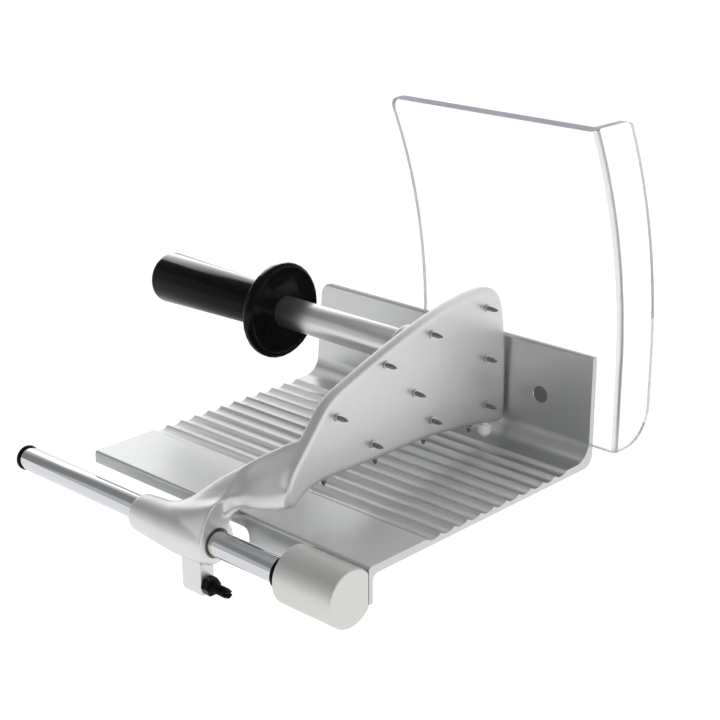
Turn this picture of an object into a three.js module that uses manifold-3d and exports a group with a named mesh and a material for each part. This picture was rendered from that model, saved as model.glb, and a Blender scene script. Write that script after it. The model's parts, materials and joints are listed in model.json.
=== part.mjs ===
// Food carriage of a kitchen slicer: a grooved tray with a fence, a clear hand guard behind it,
// and a spiked pusher that slides and swings on a chrome rod.
// Millimetres, +Z up. X is the feed direction towards the blade, Y runs from the rod to the fence.
// Pieces are drawn in the tray's frame, whose zero is the front left corner of the tray's top,
// and the whole carriage is then set so that its seat under the tray is the origin.
import * as THREE from 'three';
import { mergeVertices } from 'three/addons/utils/BufferGeometryUtils.js';
import ManifoldModule from 'manifold-3d';

const wasm = await ManifoldModule();
wasm.setup();

// Clearances
const FIT = 0.3;
const RUNNING_FIT = 0.3;
const SLIDE_GAP = 1.2;
const CUT = 1;

// Tray
const TRAY_LENGTH = 230;
const FLOOR_THICKNESS = 5;
const FLAT_BAND = 46.6;
const GROOVE_COUNT = 11;
const GROOVE_PITCH = 11.6;
const GROOVE_DEPTH = 2;
const GLIDE_STRIP = 9.8;
const FENCE_FILLET = 12;
const FENCE_THICKNESS = 4;
const FENCE_HEIGHT = 66;
const FENCE_LEAN = 4;
const FENCE_CORNER = 9;
const OUTER_CORNER = 8;
const EDGE_ROUND = 2;
const SKIRT_THICKNESS = 3;
const SKIRT_FILLET = 4;
const LIP_DROP = 7.5;
const APRON_DROP = 16;
const SKIRT_DROP = 22;
const APRON_LENGTH = 92;
const APRON_CORNER = 5;

// Hand guard
const GUARD_THICKNESS = 5;
const GUARD_BOTTOM = 7;
const GUARD_TOP = 210;
const GUARD_WIDTH = 153;
const GUARD_OVERHANG = 16;
const GUARD_FLANGE = 35;
const GUARD_STRAIGHT = 50;
const GUARD_BEND_RADIUS = 340;
const GUARD_OUTER_ROUND = 4;
const GUARD_INNER_ROUND = 1.5;
const GUARD_TOP_LAND = 0.5;
const GUARD_CORNER = 10;
const FLANGE_TOP_CORNER = 12;
const FLANGE_BOTTOM_CORNER = 22;
const GUARD_SCREW_HEIGHT = 32.5;
const GUARD_SCREW_INSET = 38;
const GUARD_SCREW_SPACING = 60;
const GUARD_SCREW_RADIUS = 2.5;
const GUARD_SCREW_HEAD = 5.4;
const GUARD_NUT_FLATS = 8;
const GUARD_NUT_HEIGHT = 4;
const THREAD_STICKOUT = 1.5;

// Guide rod and its bracket
const ROD_RADIUS = 7.5;
const ROD_BORE = 5;
const ROD_FRONT = 15.5;
const ROD_BELOW = 14.2;
const ROD_FREE_LENGTH = 235;
const ROD_SOCKET = 18;
const BRACKET_LENGTH = 43;
const BRACKET_RADIUS = 17;
const BRACKET_OFFSET = 2.3;
const BRACKET_RISE = 0.9;
const BRACKET_CHAMFER = 0.8;
const BRACKET_RELIEF = 3.6;
const BRACKET_RELIEF_LENGTH = 15;
const BRACKET_RELIEF_SLOPE = 5;
const BRACKET_SCREW_RADIUS = 2.4;
const BRACKET_SCREW_HEAD = 4.3;
const BRACKET_SCREW_HEAD_HEIGHT = 3;
const BRACKET_SCREW_DEPTH = 10;
const BRACKET_SCREW_INSET = 7;
const BRACKET_SCREW_SPACING = 12;
const SET_SCREW_RADIUS = 2.5;
const BUFFER_LENGTH = 7;
const BUFFER_RADIUS = 9.5;
const CAP_RADIUS = 8;
const CAP_LENGTH = 4;
const CAP_STEM = 10;

// Pusher hub and bushes
const HUB_FACE = 128;
const HUB_LENGTH = 64.5;
const HUB_RADIUS = 13.4;
const HUB_TAIL_RADIUS = 11.2;
const HUB_SWELL = 14.2;
const HUB_SAG = 0.9;
const BUSH_WALL = 0.9;
const BUSH_LENGTH = 15;
const LUG_LEFT = 103;
const LUG_LENGTH = 16;
const LUG_WIDTH = 11;
const LUG_REACH = 36.3;
const LUG_FLARE = 2;
const LUG_CORNER = 4;

// Pusher plate
const PLATE_FACE = 167;
const PLATE_THICKNESS = 8.5;
const PLATE_ROUND = 2.4;
const PLATE_TOP = 101.5;
const PLATE_BOTTOM = 20;
const PLATE_HEEL = 9.5;
const PLATE_FENCE_GAP = 2;
const PLATE_SHOULDER = 71;
const PLATE_NECK = 34;
const TOE_FRONT = 4;
const TOE_BOTTOM = 10;

// Spikes and glide foot
const SPIKE_LENGTH = 8.6;
const SPIKE_RADIUS = 1.4;
const SPIKE_COLLAR = 2.2;
const SPIKE_COLLAR_HEIGHT = 0.8;
const SPIKE_STEM = 1.3;
const SPIKE_STEM_LENGTH = 4.5;
const EDGE_SPIKE_LENGTH = 5;
const EDGE_SPIKE_COUNT = 4;
const EDGE_SPIKE_FIRST = 35;
const EDGE_SPIKE_FOOT_GAP = 16;
const FOOT_RADIUS = 4.2;
const FOOT_STEM = 2;
const FOOT_STEM_LENGTH = 9;
const FOOT_POINT = 4.5;

// Handle
const HANDLE_OUT = 115;
const HANDLE_DROP = 27.1;
const TUBE_RADIUS = 10;
const TUBE_WALL = 2;
const TUBE_LENGTH = 106.3;
const SOCKET_RADIUS = 14;
const SOCKET_DEPTH = 8;
const DISC_RADIUS = 30.8;
const DISC_THICKNESS = 9.5;
const GRIP_RADIUS = 16.8;
const GRIP_NECK = 13.8;
const GRIP_LENGTH = 102.5;
const GRIP_ROUND = 4;
const STUD_RADIUS = 4;
const STUD_GRIP_DEPTH = 70;
const STUD_PLATE_DEPTH = 5;

// Stop screw
const STOP_RADIUS = 3;
const STOP_DROP = 29.2;
const STOP_TIP = 137;
const STOP_LENGTH = 31;
const STOP_SLOT = 1.2;
const STOP_SLOT_DEPTH = 2;
const LOCK_NUT_FLATS = 10;
const LOCK_NUT_HEIGHT = 5;

// Facets
const ROUND_SIDES = 32;
const SMALL_SIDES = 16;
const SPIKE_SIDES = 8;
const ARC_STEPS = 6;

// Places worked out from the sizes
const GROOVES_END = FLAT_BAND + GROOVE_COUNT * GROOVE_PITCH;
const FENCE_INNER = GROOVES_END + GLIDE_STRIP + FENCE_FILLET;
const FENCE_OUTER = FENCE_INNER + FENCE_THICKNESS;
const APRON_LEFT = TRAY_LENGTH - APRON_LENGTH;
const ROD_Y = -ROD_FRONT;
const ROD_Z = -ROD_BELOW;
const BRACKET_LEFT = TRAY_LENGTH - BRACKET_LENGTH;
const ROD_LEFT = BRACKET_LEFT - ROD_FREE_LENGTH;
const ROD_RIGHT = BRACKET_LEFT + ROD_SOCKET;
const HUB_TAIL = HUB_FACE - HUB_LENGTH;
const BUSH_INNER = ROD_RADIUS + RUNNING_FIT;
const BUSH_OUTER = BUSH_INNER + BUSH_WALL;
const HUB_BORE = BUSH_OUTER + RUNNING_FIT;
const PLATE_BACK = PLATE_FACE - PLATE_THICKNESS;
const PLATE_MIDDLE = PLATE_FACE - PLATE_THICKNESS / 2;
const PLATE_RIGHT = FENCE_INNER - PLATE_FENCE_GAP;
const HANDLE_UP = PLATE_TOP - HANDLE_DROP;
const SOCKET_FLOOR = PLATE_BACK - FIT;
const TUBE_RIGHT = SOCKET_FLOOR - FIT;
const TUBE_LEFT = TUBE_RIGHT - TUBE_LENGTH;
const DISC_RIGHT = TUBE_LEFT - FIT;
const DISC_LEFT = DISC_RIGHT - DISC_THICKNESS;
const GRIP_RIGHT = DISC_LEFT - FIT;
const GRIP_LEFT = GRIP_RIGHT - GRIP_LENGTH;
const LUG_RIGHT = LUG_LEFT + LUG_LENGTH;
const STOP_Z = ROD_Z - STOP_DROP;
const FOOT_Y = GROOVES_END + GLIDE_STRIP / 2;
const GUARD_INNER = FENCE_OUTER + FIT;
const GUARD_OUTER = GUARD_INNER + GUARD_THICKNESS;
const GUARD_RIGHT = TRAY_LENGTH + GUARD_OVERHANG;
const GUARD_LEFT = GUARD_RIGHT - GUARD_WIDTH;

// Finishes
const finish = (color, roughness, metalness, extra = {}) =>
  new THREE.MeshStandardMaterial({ color, roughness, metalness, ...extra });
const SATIN_ALUMINIUM = finish(0xc9cbcb, 0.42, 0.9);
const CAST_ALUMINIUM = finish(0xc6c8c9, 0.48, 0.85);
const BLASTED_ALUMINIUM = finish(0xc2c4c6, 0.62, 0.6);
const CHROME = finish(0xdfe2e6, 0.08, 1);
const STAINLESS = finish(0xa9adb1, 0.25, 1);
const BRONZE = finish(0xb08d4c, 0.35, 0.9);
const BLACK_PLASTIC = finish(0x0a0a0b, 0.16, 0);
const BLACK_STEEL = finish(0x121315, 0.4, 0.6);
const BLACK_RUBBER = finish(0x101011, 0.6, 0);
const WHITE_PLASTIC = finish(0xe9ebe8, 0.4, 0, { transparent: true, opacity: 0.85 });
const CLEAR_PLASTIC = finish(0xf4f8fa, 0.05, 0, { transparent: true, opacity: 0.25 });

// A geometry as one closed, welded body with its faces turned out.
function weld(source) {
  const geometry = source.index ? source.toNonIndexed() : source.clone();
  geometry.deleteAttribute('normal');
  geometry.deleteAttribute('uv');
  const merged = mergeVertices(geometry, 1e-4);
  const index = merged.index.array;
  const point = (i) => new THREE.Vector3().fromBufferAttribute(merged.attributes.position, i);
  const kept = [];
  let volume = 0;
  for (let i = 0; i < index.length; i += 3) {
    const [a, b, c] = [index[i], index[i + 1], index[i + 2]];
    if (a === b || b === c || c === a) continue;
    kept.push(a, b, c);
    volume += point(a).dot(point(b).cross(point(c)));
  }
  if (volume < 0) kept.reverse();
  merged.setIndex(kept);
  return merged;
}

// A closed geometry as a solid that can be joined and cut.
function solid(geometry) {
  const body = weld(geometry);
  return new wasm.Manifold(new wasm.Mesh({
    numProp: 3,
    vertProperties: new Float32Array(body.attributes.position.array),
    triVerts: new Uint32Array(body.index.array),
  }));
}

function geometryOf(body) {
  const mesh = body.getMesh();
  const geometry = new THREE.BufferGeometry();
  geometry.setAttribute('position', new THREE.BufferAttribute(new Float32Array(mesh.vertProperties), 3));
  geometry.setIndex(new THREE.BufferAttribute(new Uint32Array(mesh.triVerts), 1));
  return geometry;
}

function cutAll(body, cutters) {
  return cutters.reduce((rest, cutter) => rest.subtract(cutter), body);
}

// Turns that take a drawing's plane to the tray's frame.
const ALONG_X = new THREE.Matrix4().set(0, 0, 1, 0, 1, 0, 0, 0, 0, 1, 0, 0, 0, 0, 0, 1);
const ALONG_Y = new THREE.Matrix4().set(1, 0, 0, 0, 0, 0, -1, 0, 0, 1, 0, 0, 0, 0, 0, 1);
const ABOUT_X = new THREE.Matrix4().set(0, 1, 0, 0, 0, 0, 1, 0, 1, 0, 0, 0, 0, 0, 0, 1);
const ABOUT_Y = new THREE.Matrix4();
const ABOUT_Z = new THREE.Matrix4().set(1, 0, 0, 0, 0, 0, -1, 0, 0, 1, 0, 0, 0, 0, 0, 1);

// A (y, z) outline drawn out along X from one place to another.
function alongX(shape, from, to, options = {}) {
  const geometry = new THREE.ExtrudeGeometry(shape, {
    depth: to - from, bevelEnabled: false, curveSegments: ARC_STEPS, ...options,
  });
  return geometry.applyMatrix4(ALONG_X).translate(from, 0, 0);
}

// An (x, z) outline drawn out along Y from one place to another.
function alongY(shape, from, to) {
  const geometry = new THREE.ExtrudeGeometry(shape, {
    depth: to - from, bevelEnabled: false, curveSegments: ARC_STEPS,
  });
  return geometry.applyMatrix4(ALONG_Y).translate(0, to, 0);
}

// A turned piece: its profile is a list of [radius, place along the axis].
function turned(profile, turn, sides, at) {
  const points = profile.map(([radius, along]) => new THREE.Vector2(radius, along));
  return new THREE.LatheGeometry(points, sides).applyMatrix4(turn).translate(...at);
}

function pinX(radius, from, to, y, z, sides = SMALL_SIDES) {
  return turned([[0, from], [radius, from], [radius, to], [0, to]], ABOUT_X, sides, [0, y, z]);
}

function pinY(radius, from, to, x, z, sides = SMALL_SIDES) {
  return turned([[0, from], [radius, from], [radius, to], [0, to]], ABOUT_Y, sides, [x, 0, z]);
}

function pinZ(radius, from, to, x, y, sides = SMALL_SIDES) {
  return turned([[0, from], [radius, from], [radius, to], [0, to]], ABOUT_Z, sides, [x, y, 0]);
}

function polygon(points) {
  return new THREE.Shape(points.map(([a, b]) => new THREE.Vector2(a, b)));
}

function hexagon(flats, bore) {
  const corner = flats / Math.sqrt(3);
  const shape = polygon([0, 1, 2, 3, 4, 5].map((i) => {
    const angle = (i * Math.PI) / 3;
    return [corner * Math.cos(angle), corner * Math.sin(angle)];
  }));
  shape.holes.push(new THREE.Path().absarc(0, 0, bore, 0, 2 * Math.PI));
  return shape;
}

// What lies outside a round corner: the sliver between the square corner and its arc.
// The corner points along (sideways, up), each 1 or -1.
function cornerSliver(cornerX, cornerY, radius, sideways, up) {
  const steps = 2 * ARC_STEPS;
  const points = [[cornerX + sideways * CUT, cornerY + up * CUT]];
  points.push([cornerX + sideways * CUT, cornerY - up * radius]);
  for (let i = 0; i <= steps; i += 1) {
    const angle = (i / steps) * (Math.PI / 2);
    points.push([
      cornerX + sideways * radius * (Math.cos(angle) - 1),
      cornerY + up * radius * (Math.sin(angle) - 1),
    ]);
  }
  points.push([cornerX - sideways * radius, cornerY + up * CUT]);
  return polygon(points);
}

// A skin over a row of closed outlines with equally many points, closed by flat ends.
function loft(rings) {
  const count = rings[0].length;
  const positions = rings.flat().flatMap((p) => [p.x, p.y, p.z]);
  const index = [];
  for (let row = 0; row + 1 < rings.length; row += 1) {
    for (let i = 0; i < count; i += 1) {
      const a = row * count + i;
      const b = row * count + ((i + 1) % count);
      index.push(a, b, b + count, a, b + count, a + count);
    }
  }
  const last = (rings.length - 1) * count;
  const flat = (ring) => {
    const spreadX = Math.max(...ring.map((p) => p.x)) - Math.min(...ring.map((p) => p.x));
    return ring.map((p) => (spreadX > FIT ? new THREE.Vector2(p.x, p.y) : new THREE.Vector2(p.y, p.z)));
  };
  const clockwise = THREE.ShapeUtils.isClockWise(flat(rings[0]));
  const cap = (ring, first, turnedOver) => {
    for (const [a, b, c] of THREE.ShapeUtils.triangulateShape(flat(ring), [])) {
      index.push(first + a, first + (turnedOver ? c : b), first + (turnedOver ? b : c));
    }
  };
  cap(rings[0], 0, !clockwise);
  cap(rings[rings.length - 1], last, clockwise);
  const geometry = new THREE.BufferGeometry();
  geometry.setAttribute('position', new THREE.Float32BufferAttribute(positions, 3));
  geometry.setIndex(index);
  return geometry;
}

const carriage = new THREE.Group();
const trayFrame = new THREE.Group();
trayFrame.position.set(-TRAY_LENGTH / 2, -FENCE_OUTER / 2, FLOOR_THICKNESS);
carriage.add(trayFrame);

function place(name, geometry, material) {
  const mesh = new THREE.Mesh(weld(geometry), material);
  mesh.name = name;
  mesh.geometry.computeVertexNormals();
  trayFrame.add(mesh);
}

const guardScrews = {
  right: TRAY_LENGTH - GUARD_SCREW_INSET,
  left: TRAY_LENGTH - GUARD_SCREW_INSET - GUARD_SCREW_SPACING,
};
const bracketScrews = {
  right: TRAY_LENGTH - BRACKET_SCREW_INSET,
  left: TRAY_LENGTH - BRACKET_SCREW_INSET - BRACKET_SCREW_SPACING,
};
const HEAD_DEPTH = GUARD_SCREW_HEAD - GUARD_SCREW_RADIUS;

// The tray's section: rounded front edge, flat band, hollow grooves, fence and skirt.
function traySection() {
  const shape = new THREE.Shape();
  shape.moveTo(0, -SKIRT_DROP);
  shape.lineTo(0, -EDGE_ROUND);
  shape.absarc(EDGE_ROUND, -EDGE_ROUND, EDGE_ROUND, Math.PI, Math.PI / 2, true);
  shape.lineTo(FLAT_BAND, 0);
  const half = GROOVE_PITCH / 2;
  const radius = (half * half + GROOVE_DEPTH * GROOVE_DEPTH) / (2 * GROOVE_DEPTH);
  const spread = Math.asin(half / radius);
  for (let i = 0; i < GROOVE_COUNT; i += 1) {
    const middle = FLAT_BAND + (i + 0.5) * GROOVE_PITCH;
    shape.absarc(middle, radius - GROOVE_DEPTH, radius, -Math.PI / 2 - spread, -Math.PI / 2 + spread, false);
  }
  shape.lineTo(FENCE_INNER - FENCE_FILLET, 0);
  shape.absarc(FENCE_INNER - FENCE_FILLET, FENCE_FILLET, FENCE_FILLET, -Math.PI / 2, 0, false);
  const crown = FENCE_THICKNESS / 2;
  shape.absarc(FENCE_INNER + crown, FENCE_HEIGHT - crown, crown, Math.PI, 0, true);
  shape.absarc(FENCE_OUTER - OUTER_CORNER, OUTER_CORNER - FLOOR_THICKNESS, OUTER_CORNER, 0, -Math.PI / 2, true);
  shape.lineTo(SKIRT_THICKNESS + SKIRT_FILLET, -FLOOR_THICKNESS);
  shape.absarc(SKIRT_THICKNESS + SKIRT_FILLET, -FLOOR_THICKNESS - SKIRT_FILLET, SKIRT_FILLET,
    Math.PI / 2, Math.PI, false);
  shape.lineTo(SKIRT_THICKNESS, -SKIRT_DROP);
  return shape;
}

// The skirt is full height only behind the bracket: an apron leads up to it, then a plain lip.
function skirtRelief() {
  const shape = new THREE.Shape();
  shape.moveTo(-CUT, -SKIRT_DROP - CUT);
  shape.lineTo(-CUT, -LIP_DROP);
  shape.lineTo(APRON_LEFT - APRON_CORNER, -LIP_DROP);
  shape.absarc(APRON_LEFT - APRON_CORNER, -LIP_DROP - APRON_CORNER, APRON_CORNER, Math.PI / 2, 0, true);
  shape.lineTo(APRON_LEFT, -APRON_DROP);
  shape.lineTo(BRACKET_LEFT, -APRON_DROP);
  shape.lineTo(BRACKET_LEFT + APRON_CORNER, -SKIRT_DROP - CUT);
  return shape;
}

function fenceLeftEnd() {
  const shape = new THREE.Shape();
  shape.moveTo(-CUT, FENCE_FILLET);
  shape.lineTo(0, FENCE_FILLET);
  shape.lineTo(FENCE_LEAN, FENCE_HEIGHT - FENCE_CORNER);
  shape.absarc(FENCE_LEAN + FENCE_CORNER, FENCE_HEIGHT - FENCE_CORNER, FENCE_CORNER, Math.PI, Math.PI / 2, true);
  shape.lineTo(FENCE_LEAN + FENCE_CORNER, FENCE_HEIGHT + CUT);
  shape.lineTo(-CUT, FENCE_HEIGHT + CUT);
  return shape;
}

function makeTray() {
  const cutters = [
    alongY(skirtRelief(), -CUT, SKIRT_THICKNESS + SKIRT_FILLET + CUT),
    alongY(fenceLeftEnd(), FENCE_INNER - CUT, FENCE_OUTER + CUT),
  ];
  const sink = FENCE_INNER + HEAD_DEPTH;
  const hole = GUARD_SCREW_RADIUS + FIT;
  for (const x of Object.values(guardScrews)) {
    cutters.push(turned([
      [0, FENCE_INNER - CUT], [hole + HEAD_DEPTH + CUT, FENCE_INNER - CUT], [hole, sink],
      [hole, FENCE_OUTER + CUT], [0, FENCE_OUTER + CUT],
    ], ABOUT_Y, SMALL_SIDES, [x, 0, GUARD_SCREW_HEIGHT]));
  }
  for (const x of Object.values(bracketScrews)) {
    cutters.push(pinY(BRACKET_SCREW_RADIUS + FIT, -CUT, SKIRT_THICKNESS + CUT, x, ROD_Z));
  }
  const tray = cutAll(solid(alongX(traySection(), 0, TRAY_LENGTH)), cutters.map(solid));
  place('carriage_tray', geometryOf(tray), SATIN_ALUMINIUM);
}

// How far the guard leans towards the food at a height.
function guardLean(height) {
  const rise = Math.max(0, height - GUARD_BOTTOM - GUARD_STRAIGHT);
  return GUARD_BEND_RADIUS - Math.sqrt(GUARD_BEND_RADIUS * GUARD_BEND_RADIUS - rise * rise);
}

// The guard's plan: a panel that turns into a flange on the blade side.
function guardPlan() {
  const shape = new THREE.Shape();
  const flangeLeft = GUARD_RIGHT - GUARD_THICKNESS;
  shape.moveTo(GUARD_LEFT, GUARD_OUTER);
  shape.lineTo(GUARD_LEFT, GUARD_INNER);
  shape.absarc(GUARD_RIGHT - GUARD_OUTER_ROUND, GUARD_INNER + GUARD_OUTER_ROUND, GUARD_OUTER_ROUND,
    -Math.PI / 2, 0, false);
  shape.lineTo(GUARD_RIGHT, GUARD_INNER + GUARD_FLANGE);
  shape.lineTo(flangeLeft, GUARD_INNER + GUARD_FLANGE);
  shape.absarc(flangeLeft - GUARD_INNER_ROUND, GUARD_OUTER + GUARD_INNER_ROUND, GUARD_INNER_ROUND,
    0, -Math.PI / 2, true);
  return shape.getPoints(ARC_STEPS);
}

function makeGuard() {
  const heights = [GUARD_BOTTOM];
  const bendSteps = 2 * ARC_STEPS;
  const bendStart = GUARD_BOTTOM + GUARD_STRAIGHT;
  for (let i = 0; i <= bendSteps; i += 1) {
    heights.push(bendStart + (i / bendSteps) * (GUARD_TOP - bendStart));
  }
  const plan = guardPlan();
  const rings = heights.map((z) => plan.map((p) => new THREE.Vector3(p.x, p.y - guardLean(z), z)));
  const flangeEdge = GUARD_INNER + GUARD_FLANGE;
  const flangeFrom = GUARD_RIGHT - GUARD_THICKNESS - CUT;
  const panelReach = [GUARD_INNER - guardLean(GUARD_TOP) - CUT, GUARD_OUTER + CUT];
  const topSlope = Math.tan(Math.asin((GUARD_TOP - bendStart) / GUARD_BEND_RADIUS));
  const land = GUARD_OUTER - guardLean(GUARD_TOP) - GUARD_TOP_LAND;
  const across = GUARD_THICKNESS + CUT;
  const cutters = [
    alongY(cornerSliver(GUARD_LEFT, GUARD_TOP, GUARD_CORNER, -1, 1), ...panelReach),
    alongY(cornerSliver(GUARD_LEFT, GUARD_BOTTOM, GUARD_CORNER, -1, -1), ...panelReach),
    alongX(cornerSliver(flangeEdge - guardLean(GUARD_TOP - FLANGE_TOP_CORNER), GUARD_TOP, FLANGE_TOP_CORNER, 1, 1),
      flangeFrom, GUARD_RIGHT + CUT),
    alongX(cornerSliver(flangeEdge, GUARD_BOTTOM, FLANGE_BOTTOM_CORNER, 1, -1), flangeFrom, GUARD_RIGHT + CUT),
    alongX(polygon([
      [land + CUT, GUARD_TOP + CUT * topSlope], [land - across, GUARD_TOP + CUT * topSlope],
      [land - across, GUARD_TOP - across * topSlope],
    ]), GUARD_LEFT - CUT, GUARD_RIGHT + CUT),
  ];
  for (const x of Object.values(guardScrews)) {
    cutters.push(pinY(GUARD_SCREW_RADIUS + FIT, GUARD_INNER - CUT, GUARD_OUTER + CUT, x, GUARD_SCREW_HEIGHT));
  }
  place('hand_guard', geometryOf(cutAll(solid(loft(rings)), cutters.map(solid))), CLEAR_PLASTIC);
}

function makeGuardFasteners() {
  const head = FENCE_INNER + FIT;
  const nutFrom = GUARD_OUTER + FIT;
  const end = nutFrom + GUARD_NUT_HEIGHT + THREAD_STICKOUT;
  const nut = hexagon(GUARD_NUT_FLATS, GUARD_SCREW_RADIUS + FIT);
  for (const [side, x] of Object.entries(guardScrews)) {
    place(`guard_screw_${side}`, turned([
      [0, head], [GUARD_SCREW_HEAD, head], [GUARD_SCREW_RADIUS, head + HEAD_DEPTH],
      [GUARD_SCREW_RADIUS, end], [0, end],
    ], ABOUT_Y, SMALL_SIDES, [x, 0, GUARD_SCREW_HEIGHT]), BLACK_STEEL);
    place(`guard_nut_${side}`, alongY(nut, nutFrom, nutFrom + GUARD_NUT_HEIGHT)
      .translate(x, 0, GUARD_SCREW_HEIGHT), STAINLESS);
  }
}

function makeBracket() {
  const middle = ROD_Y + BRACKET_OFFSET;
  const height = ROD_Z + BRACKET_RISE;
  const body = solid(turned([
    [0, BRACKET_LEFT], [BRACKET_RADIUS - BRACKET_CHAMFER, BRACKET_LEFT],
    [BRACKET_RADIUS, BRACKET_LEFT + BRACKET_CHAMFER], [BRACKET_RADIUS, TRAY_LENGTH - BRACKET_CHAMFER],
    [BRACKET_RADIUS - BRACKET_CHAMFER, TRAY_LENGTH], [0, TRAY_LENGTH],
  ], ABOUT_X, 2 * ROUND_SIDES, [0, middle, height]));
  const bottom = height - BRACKET_RADIUS;
  const reliefEnd = BRACKET_LEFT + BRACKET_RELIEF_LENGTH;
  const relief = polygon([
    [BRACKET_LEFT - CUT, bottom - CUT], [BRACKET_LEFT - CUT, bottom + BRACKET_RELIEF],
    [reliefEnd, bottom + BRACKET_RELIEF], [reliefEnd + BRACKET_RELIEF_SLOPE, bottom - CUT],
  ]);
  const reach = 2 * BRACKET_RADIUS;
  const seat = polygon([
    [-FIT, ROD_Z - reach], [-FIT, ROD_Z + reach], [reach, ROD_Z + reach], [reach, ROD_Z - reach],
  ]);
  const cutters = [
    alongX(seat, BRACKET_LEFT - CUT, TRAY_LENGTH + CUT),
    alongY(relief, middle - reach, middle + reach),
    pinX(ROD_RADIUS + FIT, BRACKET_LEFT - CUT, ROD_RIGHT + FIT, ROD_Y, ROD_Z, ROUND_SIDES),
    pinZ(SET_SCREW_RADIUS + FIT, bottom - CUT, ROD_Z, BRACKET_LEFT + ROD_SOCKET / 2, ROD_Y),
  ];
  for (const x of Object.values(bracketScrews)) {
    cutters.push(pinY(BRACKET_SCREW_RADIUS + FIT, -BRACKET_SCREW_DEPTH - CUT, CUT, x, ROD_Z));
  }
  place('rod_bracket', geometryOf(cutAll(body, cutters.map(solid))), BLASTED_ALUMINIUM);
}

function makeBracketFasteners() {
  const headFrom = SKIRT_THICKNESS + FIT;
  const headTo = headFrom + BRACKET_SCREW_HEAD_HEIGHT;
  for (const [side, x] of Object.entries(bracketScrews)) {
    place(`bracket_screw_${side}`, turned([
      [0, -BRACKET_SCREW_DEPTH], [BRACKET_SCREW_RADIUS, -BRACKET_SCREW_DEPTH], [BRACKET_SCREW_RADIUS, headFrom],
      [BRACKET_SCREW_HEAD, headFrom], [BRACKET_SCREW_HEAD, headFrom + BRACKET_SCREW_HEAD_HEIGHT / 2],
      [BRACKET_SCREW_HEAD / 2, headTo], [0, headTo],
    ], ABOUT_Y, SMALL_SIDES, [x, 0, ROD_Z]), STAINLESS);
  }
  const screwTop = ROD_Z - ROD_RADIUS - FIT;
  const screwBottom = ROD_Z + BRACKET_RISE - BRACKET_RADIUS + BRACKET_RELIEF;
  place('rod_set_screw', pinZ(SET_SCREW_RADIUS, screwBottom, screwTop, BRACKET_LEFT + ROD_SOCKET / 2, ROD_Y),
    BLACK_STEEL);
}

function makeRod() {
  const edge = ROD_RADIUS - EDGE_ROUND / 4;
  place('pusher_rod', turned([
    [ROD_BORE, ROD_LEFT], [edge, ROD_LEFT], [ROD_RADIUS, ROD_LEFT + EDGE_ROUND / 4],
    [ROD_RADIUS, ROD_RIGHT - EDGE_ROUND / 4], [edge, ROD_RIGHT], [ROD_BORE, ROD_RIGHT], [ROD_BORE, ROD_LEFT],
  ], ABOUT_X, ROUND_SIDES, [0, ROD_Y, ROD_Z]), CHROME);

  const capRight = ROD_LEFT - FIT;
  const capLeft = capRight - CAP_LENGTH;
  const dome = [[0, capLeft]];
  for (let i = 1; i <= ARC_STEPS; i += 1) {
    const angle = (i / ARC_STEPS) * (Math.PI / 2);
    dome.push([CAP_RADIUS * Math.sin(angle), capLeft + (CAP_LENGTH / 2) * (1 - Math.cos(angle))]);
  }
  const stem = ROD_BORE - FIT;
  place('rod_end_cap', turned([
    ...dome, [CAP_RADIUS, capRight], [stem, capRight], [stem, capRight + CAP_STEM], [0, capRight + CAP_STEM],
  ], ABOUT_X, ROUND_SIDES, [0, ROD_Y, ROD_Z]), BLACK_PLASTIC);

  const bufferRight = BRACKET_LEFT - FIT;
  const bufferLeft = bufferRight - BUFFER_LENGTH;
  const bufferBore = ROD_RADIUS + FIT;
  place('rod_buffer', turned([
    [bufferBore, bufferLeft], [BUFFER_RADIUS - CUT, bufferLeft], [BUFFER_RADIUS, bufferLeft + CUT],
    [BUFFER_RADIUS, bufferRight], [bufferBore, bufferRight], [bufferBore, bufferLeft],
  ], ABOUT_X, ROUND_SIDES, [0, ROD_Y, ROD_Z]), BLACK_RUBBER);
}

function makeBushes() {
  const bush = (from, to) => turned([
    [BUSH_INNER, from], [BUSH_OUTER, from], [BUSH_OUTER, to], [BUSH_INNER, to], [BUSH_INNER, from],
  ], ABOUT_X, ROUND_SIDES, [0, ROD_Y, ROD_Z]);
  place('hub_bush_front', bush(HUB_FACE - BUSH_LENGTH, HUB_FACE), BRONZE);
  place('hub_bush_rear', bush(HUB_TAIL, HUB_TAIL + BUSH_LENGTH), BRONZE);
}

// An upright oval at a station along X, from its lower tip to its upper tip.
function oval(x, low, high, halfWidth, count) {
  const middle = low.clone().add(high).multiplyScalar(0.5);
  const long = high.clone().sub(low).multiplyScalar(0.5);
  const wide = new THREE.Vector2(long.y, -long.x).normalize().multiplyScalar(halfWidth);
  return Array.from({ length: count }, (_, i) => {
    const angle = (2 * Math.PI * i) / count;
    const p = middle.clone().addScaledVector(long, Math.cos(angle)).addScaledVector(wide, Math.sin(angle));
    return new THREE.Vector3(x, p.x, p.y);
  });
}

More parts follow.
